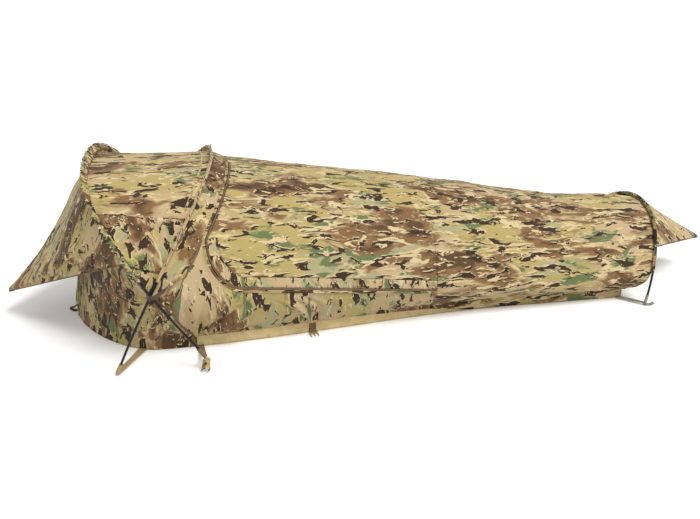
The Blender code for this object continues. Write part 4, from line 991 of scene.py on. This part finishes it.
# %% Far wall and tube
far_wall = sew_folded(
    "far_wall_cloth", "far_wall", PRINT_ALONG, 0.012, (0.0080, (0.35, 0.12, 0.12), 51.0),
    [("first_row", 0.006, 0.035, 0.06, 52.0), ("first_column", 0.003, 0.03, 0.06, 53.0)])
for side in SIDES:
    tube = sew_folded(
        f"{side}_tube_cloth", f"{side}_foot_tube", PRINT_ALONG, 0.010, (0.0075, (0.30, 0.10, 0.10), 54.0),
        [("last_column", 0.009, 0.035, 0.12, 55.0, 0.8), ("first_column", 0.0015, 0.04, 0.05, 56.0),
         ("first_row", 0.0050, 0.03, 0.06, 57.0)])
print("tube", tube.shape)

# %% Foot wall with its vent
sew_end_wall(
    "foot", PRINT_ALONG, 0.0, (0.005, (0.1, 0.08, 0.12), 61.0), [("last_row", 0.003, 0.03, 0.05, 62.0)])

# %% [markdown]
# ## The hoods
# Each hood is a beak of cloth that a wire in its open rim holds out over the vent. It is pulled
# to its tip, so its folds run from the hoop to the tip.

# %% Hoods
def tip_folds(grid, depth, pitch, seed):
    """Folds that run out to the tip of a hood, deepest half way."""
    away = distances(grid)
    share = away["first_row"] / (away["first_row"] + away["last_row"] + 1e-9)
    side = np.linspace(0, 1, grid.shape[1])[None, :] * np.ones(grid.shape[:1])[:, None]
    drift = np.stack([side / pitch, share * 0.9, np.zeros_like(side)], axis=-1)
    fade = np.clip(share / 0.15, 0, 1) * np.clip((1 - share) / 0.35, 0, 1)
    rim = np.clip(np.minimum(side, 1 - side) / 0.04, 0, 1)
    return depth * noise_field(drift, (1, 1, 1), seed, 2) * fade * rim


for end, depth, seed, print_of_hood in (
        ("head", 0.011, 71.0, PRINT_HEAD_HOOD), ("foot", 0.006, 76.0, PRINT_FOOT_HOOD)):
    hood = fine(f"{end}_hood", 0.009)
    hood = moved(
        hood,
        tip_folds(hood, depth, 0.09, seed),
        wavy(hood, 0.002, (0.1, 0.1, 0.1), seed + 1),
        puckers(hood, "first_row", 0.0040, 0.02, 0.05, seed + 2),
    )
    sew(f"{end}_hood_cloth", hood, print_of_hood, nodes=[f"{end}_hood"])
print("hood", hood.shape)

# %% [markdown]
# ## The door
# The door is one large panel, a band of cloth cut the other way round its lower corner, and a
# folded tape that binds the edge beside the zip. All three turn up together about the ridge.

# %% Door panel and band
door = sew_folded(
    "door_cloth", "door_panel", PRINT_ALONG, 0.009, (0.0080, (0.26, 0.10, 0.10), 81.0),
    [("first_column", 0.0015, 0.03, 0.04, 82.0), ("last_column", 0.0030, 0.03, 0.06, 83.0)], body="door")
band = sew_folded(
    "door_band_cloth", "door_band", PRINT_BAND, 0.007, (0.0012, (0.05, 0.05, 0.05), 84.0), body="door")
print("door", door.shape, "band", band.shape)

# %% [markdown]
# ## Groundsheet and tub
# The floor is coated cloth. It turns up into a low tub round the sides and foot, so that water
# on the ground stays out. Towards the feet the printed walls hang down over the tub as a skirt.

# %% Groundsheet and tub strips
def node_points(node):
    """A CAD node's points as an array."""
    return np.array([v.co for v in frame["nodes"][node].data.vertices])


def strip_grid(node, axis, rows):
    """The middle line of an upright CAD strip as a grid of levels and places along it."""
    points = node_points(node)
    low, high = points[:, 2].min(), points[:, 2].max()
    bottom = points[points[:, 2] < low + 0.001]
    keys = np.round(bottom[:, axis], 3)
    line = np.array([bottom[np.abs(keys - key) < 0.0015].mean(axis=0) for key in sorted(set(keys))])
    keep = [0] + [k for k in range(1, len(line)) if line[k, axis] - line[k - 1, axis] > 0.004]
    line = along_curve(line[keep], 14)
    heights = np.linspace(low, high, rows)
    return np.stack([np.column_stack([line[:, :2], np.full(len(line), z)]) for z in heights])


for name, axis in (("near_tub", 0), ("far_tub", 0), ("foot_tub", 1)):
    strip = strip_grid(f"{name}_edge", axis, 9)
    slanted = strip.copy()
    slanted[..., 0] += strip[..., 2] * 0.8
    creases = 0.0030 * noise_field(slanted, (0.035, 0.05, 0.09), 92.0) * edge_hold(strip, 0.008)
    strip = moved(strip, wavy(strip, 0.0016, (0.05, 0.05, 0.03), 91.0), creases)
    sew(name, strip, TAN_CLOTH, nodes=[f"{name}_edge"], thick=0.0012)
print("tub strip", strip.shape)

# %% Skirts over the tub
SKIRT_TOP = 0.0520
for name, node, axis, sewn_print, start, end in (
        ("near_door_skirt", "near_tub_edge", 0, PRINT_LOWER, -0.10, 0.366),
        ("near_tube_skirt", "near_tub_edge", 0, PRINT_ALONG, 0.366, 2.0),
        ("far_skirt", "far_tub_edge", 0, PRINT_ALONG, -0.10, 2.0),
        ("foot_skirt", "foot_tub_edge", 1, PRINT_ALONG, -2.0, 2.0)):
    strip = strip_grid(node, axis, 7)
    strip = strip[:, (strip[0, :, axis] >= start - 0.012) & (strip[0, :, axis] <= end)]
    hem = np.interp(strip[0, :, 0], (-0.10, 0.36, 0.56), (0.0500, 0.0320, 0.0030))
    strip[..., 2] = np.array([hem + (SKIRT_TOP - hem) * share for share in np.linspace(0, 1, 7)])
    skirt = moved(strip, 0.0024 + 0.0012 * noise_field(strip, (0.04, 0.04, 0.03), 93.0), hold=0)
    sew(name, skirt, sewn_print, held="hung")
print("skirt", skirt.shape)

# %% Floor
def half_at(points, x):
    """Half the floor's width at a place, read between the CAD outline's points."""
    edge = points[points[:, 1] < 0]
    edge = edge[np.argsort(edge[:, 0])]
    keep = np.concatenate([[True], np.diff(edge[:, 0]) > 0.0005])
    return float(np.interp(x, edge[keep, 0], -edge[keep, 1]))


points = node_points("groundsheet")
head, foot, top = points[:, 0].min() + 0.002, points[:, 0].max(), points[:, 2].max()
stations = np.concatenate([np.linspace(head, -0.80, 30), np.linspace(-0.76, foot, 60)])
sheet_grid = np.array([[(x, half_at(points, x) * share, top) for share in np.linspace(-1, 1, 41)]
                       for x in stations])
ripples = 0.0007 * noise_field(sheet_grid, (0.12, 0.12, 0.1), 95.0) * edge_hold(sheet_grid, 0.03)
sheet_grid[..., 2] += -0.0012 + ripples
sew("floor_sheet", sheet_grid, TAN_CLOTH, nodes=["groundsheet"], thick=0.0012,
    lining=TAN_CLOTH, held="laid")
print("floor", sheet_grid.shape)

# %% [markdown]
# ## Hoops
# A pole is a straight tube that is bent into an arch. Its line is a rounded square arch that
# leans: the two head hoops cross low down on each side, one leaning to the head and one to the
# door. The same line places the sleeves.

# %% The lines of the hoops
Hoop = namedtuple("Hoop", "foot_x foot_z crown_x crown_z half roundness bow_share")
HOOPS = {
    "rear": Hoop(-0.98, 0.014, -0.566, 0.712, 0.64, 2.3, 0.27),
    "front": Hoop(-0.643, 0.066, -1.079, 0.707, 0.656, 2.85, -0.06),
    "foot": Hoop(1.38, 0.014, 1.512, 0.394, 0.41, 2.0, 0.5),
}
POLE_R = 0.0050
RINGS = 120


def hoop_line(hoop, angles, inset=0.0):
    """Points of a leaning arch; angle 0 is the near foot and half a turn the far foot."""
    half = hoop.half - inset
    rise = hoop.crown_z - hoop.foot_z - inset
    power = hoop.roundness
    radius = (np.abs(np.cos(angles) / half) ** power + np.abs(np.sin(angles) / rise) ** power) ** (-1 / power)
    height = radius * np.sin(angles)
    share = height / rise
    lean = share + (share * share - share) * hoop.bow_share
    x = hoop.foot_x + (hoop.crown_x - hoop.foot_x) * lean
    return np.stack([x, -radius * np.cos(angles), hoop.foot_z + height], axis=-1)


def hoop_frame(hoop, low, count):
    """Even places on a hoop above two equal angles, and the ways outward and sideways there."""
    angles = np.linspace(low, math.pi - low, 2000)
    length = travelled(hoop_line(hoop, angles))
    angles = np.interp(np.linspace(0, length[-1], count), length, angles)
    line = hoop_line(hoop, angles)
    along = headings(line)
    outward = square_to(along, line - hoop_line(hoop, angles, POLE_R))
    return line, outward, np.cross(along, outward)


def closed_tube(name, rings, wanted=lambda edge: True):
    """A mesh over rings of points, closed at those of its open ends that are wanted."""
    def close(shaped):
        ends = [e for e in shaped.edges if len(e.link_faces) == 1 and wanted(e)]
        bmesh.ops.holes_fill(shaped, edges=ends, sides=0)
        face_outwards(shaped)

    return rework(grid_mesh(name, rings, wrap=True), close)


def sweep(name, line, ups, sides, radii, turns=20):
    """A mesh of round rings along a line, closed at both ends."""
    angle = np.linspace(0, 2 * math.pi, turns, endpoint=False)[None, :, None]
    around = np.cos(angle) * ups[:, None] + np.sin(angle) * sides[:, None]
    return closed_tube(name, line[:, None] + radii[:, None, None] * around)


for label, sections in (("rear", 4), ("front", 4), ("foot", 3)):
    line, ups, sides = hoop_frame(HOOPS[label], 0.0, RINGS * sections + 1)
    for number in range(sections):
        part = slice(RINGS * number, RINGS * (number + 1) + 1)
        radii = np.full(RINGS + 1, POLE_R)
        radii[:2] *= 0.93
        radii[-2:] *= 0.93
        if number < sections - 1:
            radii[-9:-3] *= 1.05
        name = f"{label}_tube_{number + 1}"
        mesh = sweep(name, line[part], ups[part], sides[part], radii)
        dress(name, mesh, [BLACK_POLE], "shell", [f"{label}_pole_{number + 1}"])

# %% [markdown]
# ## Sleeves
# A sleeve is a folded strip. Its inner edge is sewn to the skin, the pole runs in a channel in
# its middle, and beyond the pole the cloth stands out as a flat fin. Because the strip is
# straight and the hoop is bent, the fin puckers in short pleats that point away from the pole.

# %% Sleeves
CHANNEL = 0.006
PEAK_AT = 0.525
PEAK_REACH = 0.03
FAR_TRIM = 0.011


def low_angle(hoop, z):
    """The angle at which the near side of a hoop reaches a height."""
    angles = np.linspace(0, math.pi / 2, 4000)
    return float(np.interp(z, hoop_line(hoop, angles)[:, 2], angles))


def sleeve_section(inner, outer):
    """The outline round a sleeve: distance outward from the pole and sideways."""
    half = [(-inner, 0.0005), (-inner * 0.7, 0.0008), (-0.0078, 0.0024), (-0.0052, 0.0050), (0.0, 0.0063),
            (0.0052, 0.0050), (0.0078, 0.0024),
            (outer * 0.55, 0.0011), (outer * 0.8, 0.0009), (outer, 0.0006)]
    outline = [(r, -a) for r, a in half] + [(r, a) for r, a in reversed(half)] + [(-inner, -0.0005)]
    return along_curve(np.array(outline), 3)[:-1]


def sleeve(label, low, inner, outer, pleat, pitch, material, seed, peak=0.0, lean=0.0, stations=520):
    """A pole sleeve with a pleated fin that may lean towards the head at the hoop's shoulders."""
    line, out, side = hoop_frame(HOOPS[label], low, stations)
    section = sleeve_section(inner, outer)
    travel = np.linspace(0, float(stretches(line).sum()), stations)
    share = travel / travel[-1]
    reach = np.clip((section[:, 0] - CHANNEL) / (outer - CHANNEL), 0, 1)
    skin = np.clip((-section[:, 0] - CHANNEL) / (inner - CHANNEL), 0, 1)

    def drift_along(size, seed):
        """Noise that changes only along the sleeve."""
        return noise_field(np.stack([travel / size, 0 * travel, 0 * travel], axis=-1), (1, 1, 1), seed, 2)

    # The pleats grow outward over the fin, and a faint echo of them shows on the skin beside it.
    drift = drift_along(pitch * 4, seed)
    wave = np.sin(2 * math.pi * (travel / pitch + drift * 1.5)) * (0.70 + 0.7 * np.roll(drift, 40))
    wave = wave[:, None]
    across = section[None, :, 1] + wave * pleat * reach ** 0.8 + wave * pleat * 0.25 * skin * (1 - skin) * 4
    # The fin leans towards the head, most at the top of the hoop and not at all at its ends.
    headward = -np.sign(side[:, 0]) * lean * np.sin(np.linspace(0, math.pi, stations)) ** 0.5
    across = across + headward[:, None] * (reach ** 1.2 * (outer - CHANNEL))
    # A fin with a peak stands up at the ridge and is cut narrower on the far side.
    lower_far = np.clip((share - 0.545) / 0.02, 0, 1) * np.clip((0.93 - share) / 0.1, 0, 1)
    rise = peak * np.exp(-((travel - travel[-1] * PEAK_AT) / PEAK_REACH) ** 2)
    rise = rise - (peak > 0) * FAR_TRIM * lower_far
    radial = section[:, 0] + reach * rise[:, None]
    radial = radial + reach * 0.0015 * drift_along(pitch * 1.7, seed + 3)[:, None]
    grid = line[:, None] + radial[..., None] * out[:, None] + across[..., None] * side[:, None]
    name = f"{label}_fin"
    mesh = rework(grid_mesh(name, grid, wrap=True), face_outwards)
    piece = dress(name, mesh, [material, LINING], "shell", [f"{label}_sleeve"])
    thicken(piece, 0.0006, -1.0, 1)
    area = sum(p.area for p in mesh.polygons)
    wide = float(stretches(section).sum()) + 0.002
    tall = max(float(travel[-1]) * 1.02, area / wide)
    cut.append((name, round(wide, 3), round(tall, 3), round(area, 3)))


front_low = (low_angle(HOOPS["front"], 0.31) + low_angle(HOOPS["front"], 0.452)) / 2
rear_low = (low_angle(HOOPS["rear"], 0.31) + low_angle(HOOPS["rear"], 0.407)) / 2
foot_low = low_angle(HOOPS["foot"], 0.15)
sleeve("front", front_low, 0.018, 0.026, 0.0068, 0.018, PRINT_GREEN_AND_SHADE, 101.0, lean=0.8, stations=1000)
sleeve("rear", rear_low, 0.018, 0.020, 0.0016, 0.026, PRINT_EDGE, 104.0, peak=0.010)
sleeve("foot", foot_low, 0.011, 0.011, 0.0030, 0.017, PRINT_GREEN_AND_SHADE, 107.0)
print("sleeve starts", round(front_low, 3), round(rear_low, 3), round(foot_low, 3))

# %% [markdown]
# ## Hood wires
# A thin spring wire runs in the open rim of each hood. The cloth is folded round it, so what
# shows is a slim round hem.

# %% Hood rims
def round_cord(name, line, radius, material, body, nodes=(), turns=10):
    """A round tube along any line."""
    along = headings(line, 1e-9)
    ups = unit(np.cross(along, np.array([0.13, 0.05, 0.99])))
    mesh = sweep(name, line, ups, np.cross(along, ups), np.full(len(line), radius), turns)
    dress(name, mesh, [material], body, nodes)


for end in ("head", "foot"):
    wire = fine(f"{end}_hood", 0.009)
    line = np.concatenate([wire[:, 0], wire[-1, 1:-1], wire[::-1, -1]])
    line = line[np.concatenate([[True], stretches(line) > 0.0016])]
    round_cord(f"{end}_hood_hem", line, 0.0024, BINDING, "shell", [f"{end}_hood_wire"])
    at = len(line) // 2
    round_cord(f"{end}_hood_tip", line[at - 4:at + 5], 0.0040, DARK_TAPE, "shell")
print("hood rim points", len(line))

# %% [markdown]
# ## Tapes on the seams
# Where two panels meet, a woven tape is sewn over the seam on the outside. A flat tape follows
# its seam a fraction of a millimetre above the cloth.

# %% Tapes
def tape(name, line, normal, width, material, body="shell", slot="brown_binding", nodes=(),
         height=0.0011, thick=0.0012):
    """A flat tape along a line, lying on the cloth."""
    along = headings(line, 1e-9)
    normal = square_to(along, normal, 1e-9)
    side = np.cross(along, normal)
    shares = np.array([-1.0, -0.8, -0.4, 0.0, 0.4, 0.8, 1.0]) * width / 2
    crown = np.array([-0.35, 0.1, 0.25, 0.3, 0.25, 0.1, -0.35]) * 0.001
    grid = line[:, None] + side[:, None] * shares[:, None] + normal[:, None] * (height + crown)[:, None]
    mesh = grid_mesh(name, grid)
    turn_to(mesh, lambda middle: normal[len(normal) // 2])
    thicken(dress(name, mesh, [material], body, nodes), thick, -1.0)


def column(grid, j):
    """The points and normals of a column."""
    return grid[:, j], normals_of(grid)[:, j]


def row(grid, i):
    """The points and normals of a row."""
    return grid[i], normals_of(grid)[i]


step = (lower.shape[1] - 1) // (PANELS["near_lower_wall"][1] - 1)
seam_line, seam_up = (np.concatenate([low[:-1], crest[:4 * step:2]])
                      for low, crest in zip(column(lower, 0), row(lower, -1)))
tape("door_seam_tape", seam_line, seam_up, 0.010, BINDING)
tape("far_seam_tape", *column(far_wall, 0), 0.010, BINDING)
print("seam tape", len(seam_line))

# %% Hems, felled seams and a painted shadow
def hem(name, line, up, width, material, height, thick=0.0012, body="shell"):
    """A hem of the cloth itself, turned over and sewn down; one dark strip made with it is a painted shadow.
    """
    tape(name, line, up, width, material, body, "camo_cloth", height=height, thick=thick)


for side, edge in (("near", 0), ("far", -1)):
    hem(f"{side}_roof_hem", *row(roof, edge), 0.010, PRINT_ROOF, 0.0022, 0.0016)
# A painted shadow: a narrow strip of dark tape 6 mm below the near roof hem stands for the shade that the hem
# casts on the flap.
line, up = row(roof, 0)
hem("near_hem_shadow", line[6:-6] + [0.0, 0.0, -0.0060], up[6:-6], 0.0035, DARK_TAPE, 0.0024)
line, up = column(roof, -6)
hem("roof_gathered_seam", line[4:-4], up[4:-4], 0.009, PRINT_EDGE, 0.0018, 0.0016)
for side in SIDES:
    line, up = row(fine(f"{side}_window_flap", 0.006), 0)
    hem(f"{side}_flap_hem", line, up, 0.011, PRINT_FLAP_AND_SHADE, 0.0014, 0.0022, f"{side}_flap")
    line, up = column(fine(f"{side}_foot_tube", 0.010), 0)
    hem(f"{side}_tube_seam", line, up, 0.009, PRINT_ALONG, 0.0013)
print("hems", len(line))

# %% [markdown]
# ## The zip and the door's bound edge
# The zip runs from the ridge down beside the collar, round the corner and along the sill. Its
# teeth are small bars side by side. The door's edge beside it is bound with a folded tape.

# %% Zip teeth and binding
def ribbon_line(node, wide_way):
    """Middle line of a CAD webbing strip and its direction across, point by point."""
    shaped = welded(node)
    shaped.verts.ensure_lookup_table()
    place = np.array([v.co for v in shaped.verts])
    mate = {}
    for v in shaped.verts:
        mate[v.index] = min((e.calc_length(), e.other_vert(v).index) for e in v.link_edges)[1]
    pairs = sorted({frozenset((k, m)) for k, m in mate.items() if mate[m] == k}, key=min)
    home = {k: n for n, pair in enumerate(pairs) for k in pair}
    links = {frozenset((home[e.verts[0].index], home[e.verts[1].index])) for e in shaped.edges}
    shaped.free()
    middle = np.array([place[list(pair)].mean(axis=0) for pair in pairs])
    wide = np.array(wide_way, float)
    level = middle @ wide
    low = [n for n in range(len(pairs)) if level[n] < level.mean()]
    high = [n for n in range(len(pairs)) if level[n] >= level.mean()]
    near = {n: [m for m in low if frozenset((n, m)) in links and m != n] for n in low}
    line = [next(n for n in low if len(near[n]) == 1)]
    while len(line) < len(low):
        line.append(next(m for m in near[line[-1]] if m not in line))
    flat = middle - level[:, None] * wide
    over = [min(high, key=lambda m: np.linalg.norm(flat[m] - flat[n])) for n in line]
    return (middle[line] + middle[over]) / 2, middle[over] - middle[line]


BOUND_HALF = 0.0044
ZIP_AWAY = 0.0150
SILL_START = -0.56
SILL_TOP = 0.35
edge = np.concatenate([door[:, 0][::-1][:-1], band[0]])
edge_up = np.concatenate([normals_of(door)[:, 0][::-1][:-1], normals_of(band)[0]])
outside = np.cross(headings(edge), edge_up)
sill = int(np.argmin(np.abs(edge[:, 0] - SILL_START) + 9 * (edge[:, 2] > SILL_TOP)))
bound = edge + outside * BOUND_HALF
tape("door_edge_binding", bound[sill:], edge_up[sill:], 0.0088, BINDING, "door", nodes=["door_binding"],
     height=0.0016, thick=0.0026)
tape("door_edge_piping", bound[2:sill + 1], edge_up[2:sill + 1], 0.0056, BINDING, "door",
     height=0.0016, thick=0.0026)
zip_middle = edge + outside * ZIP_AWAY
tape("zip_cloth", zip_middle, edge_up, 0.0110, PRINT_ALONG, slot="brown_plastic", nodes=["zip_chain"],
     height=0.0002, thick=0.0009)
print("zip line length", round(float(stretches(zip_middle).sum()), 3))


def bars(name, places, along, across, up, size, material, body):
    """Many small rounded bars in one mesh, each at a place with its own directions."""
    length, width, height = size
    shape = [(-1, -0.6, 0), (1, -0.6, 0), (1, 0.6, 0), (-1, 0.6, 0),
             (-0.8, -0.35, 1), (0.8, -0.35, 1), (0.8, 0.35, 1), (-0.8, 0.35, 1)]
    quads = [(0, 3, 2, 1), (4, 5, 6, 7), (0, 1, 5, 4), (1, 2, 6, 5), (2, 3, 7, 6), (3, 0, 4, 7)]
    points, faces = [], []
    for k in range(len(places)):
        faces += [tuple(len(points) + q for q in quad) for quad in quads]
        for a, b, c in shape:
            end = places[k] + along[k] * a * length / 2
            points.append(end + across[k] * b * width / 2 + up[k] * c * height)
    mesh = bpy.data.meshes.new(name)
    mesh.from_pydata([tuple(p) for p in points], [], faces)
    dress(name, rework(mesh, face_outwards), [material], body)


def spaced(line, up, pitch, shift=0.0):
    """Evenly spaced places along a line, with the direction along it, across it and up."""
    length = travelled(line)
    goal = np.arange(pitch / 2, length[-1], pitch)
    place, upward = (np.stack([np.interp(goal, length, part[:, k]) for k in range(3)], axis=-1)
                     for part in (line, up))
    forward = headings(place)
    upward = square_to(forward, upward)
    side = np.cross(forward, upward)
    return place + side * shift, forward, side, upward


place, forward, side_way, upward = spaced(zip_middle, edge_up, 0.0022)
bars("zip_teeth", place + upward * 0.0002, side_way, forward, upward, (0.0034, 0.0014, 0.0008),
     ZIP_PLASTIC, "shell")
for mark, shift in (("outer", 0.0030), ("inner", -0.0030)):
    place, forward, side_way, upward = spaced(bound, edge_up, 0.0046, shift)
    bars(f"binding_stitches_{mark}", place + upward * 0.0017, forward, side_way, upward,
         (0.0030, 0.0008, 0.0004), THREAD, "door")
print("teeth and stitches", len(place))

# %% [markdown]
# ## Straps and pockets at the poles' feet
# Each pole's foot stands in a small pocket of doubled webbing, and a strap ties the pocket to
# the floor's edge. The knotted ends of the forward straps hang loose.

# %% Straps and pockets
WEBBING_COLUMNS = np.linspace(-0.5, 0.5, 7)
OFF_GROUND = 0.0022
EDGE_OFF_GROUND = 0.0016
SAG = 0.006


def strap(side, label, material, width):
    """Webbing from the floor's edge to the pocket round a pole's foot."""
    name = f"{side}_{label}_strap"
    node = f"{side}_{label}_hoop_strap"
    points = node_points(node)
    inner_y = np.abs(points[:, 1]).min()
    start = points[np.abs(np.abs(points[:, 1]) - inner_y) < 0.006].mean(axis=0)
    line = hoop_frame(HOOPS[label], 0.0, 400)[0]
    if side == "far":
        line = line[::-1]
    foot, up = line[0], (line[12] - line[0]) / np.linalg.norm(line[12] - line[0])
    target = foot - up * 0.002
    flat = np.array([target[0] - start[0], target[1] - start[1], 0.0])
    flat /= np.linalg.norm(flat)
    sideways = np.cross([0.0, 0.0, 1.0], flat)
    end = target - flat * 0.004
    share = np.linspace(0, 1, 24)
    path = start + (end - start) * share[:, None]
    path[:, 2] += -SAG * 4 * share * (1 - share) * (start[2] + end[2] > 0.03)
    path[:, 2] = np.maximum(path[:, 2], OFF_GROUND)
    roll = np.sin(share * math.pi)[:, None] * 0.5
    wide = width * (1 - 0.45 * share ** 3)
    lean = sideways * np.cos(roll) + np.array([0, 0, 1.0]) * np.sin(roll) * 0.35
    grid = path[:, None] + lean[:, None] * (WEBBING_COLUMNS * wide[:, None])[..., None]
    grid[..., 2] = np.maximum(grid[..., 2], EDGE_OFF_GROUND)
    thicken(dress(name, grid_mesh(name, grid), [material], "shell", [node]), 0.0015)
    pocket(f"{name}_pocket", foot, up, sideways, material)


def pocket(name, foot, up, sideways, material):
    """A flat pocket of webbing round a pole's foot, open at its top."""
    levels = [(-0.0078, 0.0012, 0.0022), (-0.0076, 0.0066, 0.0034), (-0.004, 0.0088, 0.0052),
              (0.006, 0.0092, 0.0060), (0.024, 0.0084, 0.0062), (0.036, 0.0078, 0.0064),
              (0.039, 0.0080, 0.0066)]
    side = sideways - up * (sideways @ up)
    side /= np.linalg.norm(side)
    face = np.cross(up, side)
    around = []
    for t in np.linspace(0, 2 * math.pi, 28, endpoint=False):
        wide = math.copysign(abs(math.cos(t)) ** 0.6, math.cos(t))
        around.append((wide, math.copysign(abs(math.sin(t)) ** 0.9, math.sin(t))))
    rings = np.array([[foot + up * z + side * (wide * a) + face * (deep * b) for wide, deep in around]
                      for z, a, b in levels])

    def at_bottom(edge):
        return all((v.co - Vector(foot)).dot(Vector(up)) < 0 for v in edge.verts)

    mesh = closed_tube(name, along_curve(rings, 4), at_bottom)
    thicken(dress(name, mesh, [material], "shell"), 0.0011, -1.0)


for side in SIDES:
    strap(side, "rear", WEBBING_TAN, 0.036)
    strap(side, "front", WEBBING_BROWN, 0.025)
    strap(side, "foot", WEBBING_GREY, 0.025)
print("straps", 6)

# %% Tabs, tails and loops
def webbing_along(name, nodes, path, sideways, width, material, slot, body="shell"):
    """A webbing strip along a smooth path, with one sideways direction per point."""
    line = along_curve(np.array(path, float), 8)
    lean = unit(along_curve(np.array(sideways, float), 8))
    grid = line[:, None] + lean[:, None] * (WEBBING_COLUMNS * width)[:, None]
    thicken(dress(name, grid_mesh(name, grid), [material], body, nodes), 0.0014)


def tail(name, node, body, sign):
    """A knot in the strap's end, and two short uneven ends that reach the ground below it."""
    low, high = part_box(node)
    top = np.array([(low.x + high.x) / 2, (low.y + high.y) / 2, high.z])
    drop = high.z - max(low.z, 0.002)
    outward = np.array([0.0, sign, 0.0])
    knot_low = top - np.array([0, 0, drop * 0.42])
    rounds = []
    for turn in np.linspace(0, 2 * math.pi * 1.6, 40):
        height = 0.005 * math.sin(turn * 1.3) + 0.006 - 0.0015 * turn
        rounds.append(knot_low + np.array([math.cos(turn) * 0.0105, math.sin(turn) * 0.0080, height]))
    round_cord(f"{name}_knot", np.array(rounds), 0.0062, PRINT_WALL, body, turns=12)
    for k, (dx, spin, reach) in enumerate(((0.007, 0.4, 0.030), (-0.008, -0.6, 0.020))):
        path = [top - np.array([0, 0, 0.001]), knot_low + np.array([dx * 0.4, 0, 0.004]),
                knot_low + outward * 0.006 + np.array([dx, 0, -drop * 0.25]),
                knot_low + outward * reach * 0.6 + np.array([dx * 1.3, 0, -drop * 0.46]),
                knot_low + outward * reach + np.array([dx * 1.6, 0, -drop * 0.52])]
        lean = [(math.cos(spin + 0.2 * i), math.sin(spin + 0.2 * i), 0.2) for i in range(5)]
        webbing_along(f"{name}_end_{k + 1}", [node], path, lean, 0.020, PRINT_WALL, "camo_cloth", body)


for side in SIDES:
    node = f"{side}_crossing_tab"
    webbing_along(f"{side}_crossing_wrap", [node], *ribbon_line(node, UP), 0.018, DARK_TAPE, "camo_cloth")
webbing_along("peg_loop", ["head_peg_loop"], *ribbon_line("head_peg_loop", ACROSS), 0.025, WEBBING_BROWN,
              "brown_binding")
for side, sign in (("near", -1.0), ("far", 1.0)):
    start = np.array([HOOPS["foot"].foot_x - 0.006, sign * (HOOPS["foot"].half - 0.003), 0.0032])
    path = [start, start + [0.016, sign * 0.003, 0.0], start + [0.032, sign * 0.006, 0.0020],
            start + [0.046, sign * 0.008, 0.0085]]
    lean = [(0.1, 1, 0), (0.1, 1, 0.05), (0.05, 1, 0.1), (0, 1, 0.15)]
    webbing_along(f"{side}_foot_strap_end", [], path, lean, 0.018, WEBBING_GREY, "grey_webbing")
tail("near_tail", "near_strap_tail", "near_tail", -1.0)
tail("far_tail", "far_strap_tail", "far_tail", 1.0)

# %% [markdown]
# ## Rigid small parts
# The buckle's plug, the zip's slider and its pull are moulded. Their CAD shapes are right, so
# each keeps its solid, gets its edges rounded by a bevel, and its own finish.

# %% Rigid small parts
def keep_rigid(node, material, edge=0.0004):
    """Keeps a CAD solid, with rounded edges and a better finish."""
    body = frame["nodes"][node]
    body.data.materials.clear()
    body.data.materials.append(material)
    weld = body.modifiers.new("weld", "WELD")
    weld.merge_threshold = WELD
    bevel = body.modifiers.new("round", "BEVEL")
    bevel.width = edge
    bevel.segments = 3
    bevel.limit_method = "ANGLE"
    bevel.angle_limit = math.radians(35)
    bevel.harden_normals = True


keep_rigid("buckle_plug", TAN_PLASTIC, 0.0008)
keep_rigid("zip_slider", DARK_PLASTIC, 0.0003)
keep_rigid("zip_pull", DARK_PLASTIC, 0.0003)
middle, lean = ribbon_line("buckle_tab", ALONG)
webbing_along("buckle_webbing", ["buckle_tab"], middle, lean, 0.031, WEBBING_BROWN, "brown_binding", "buckle")
print("rigid parts done; buckle tab", middle.round(3).tolist())

# %% [markdown]
# ## Finish
# The last step prints the size that each piece of cloth was cut to, and closes the lesson.

# %% Sizes and finish
for row_of_cut in cut:
    print("cut", *row_of_cut)
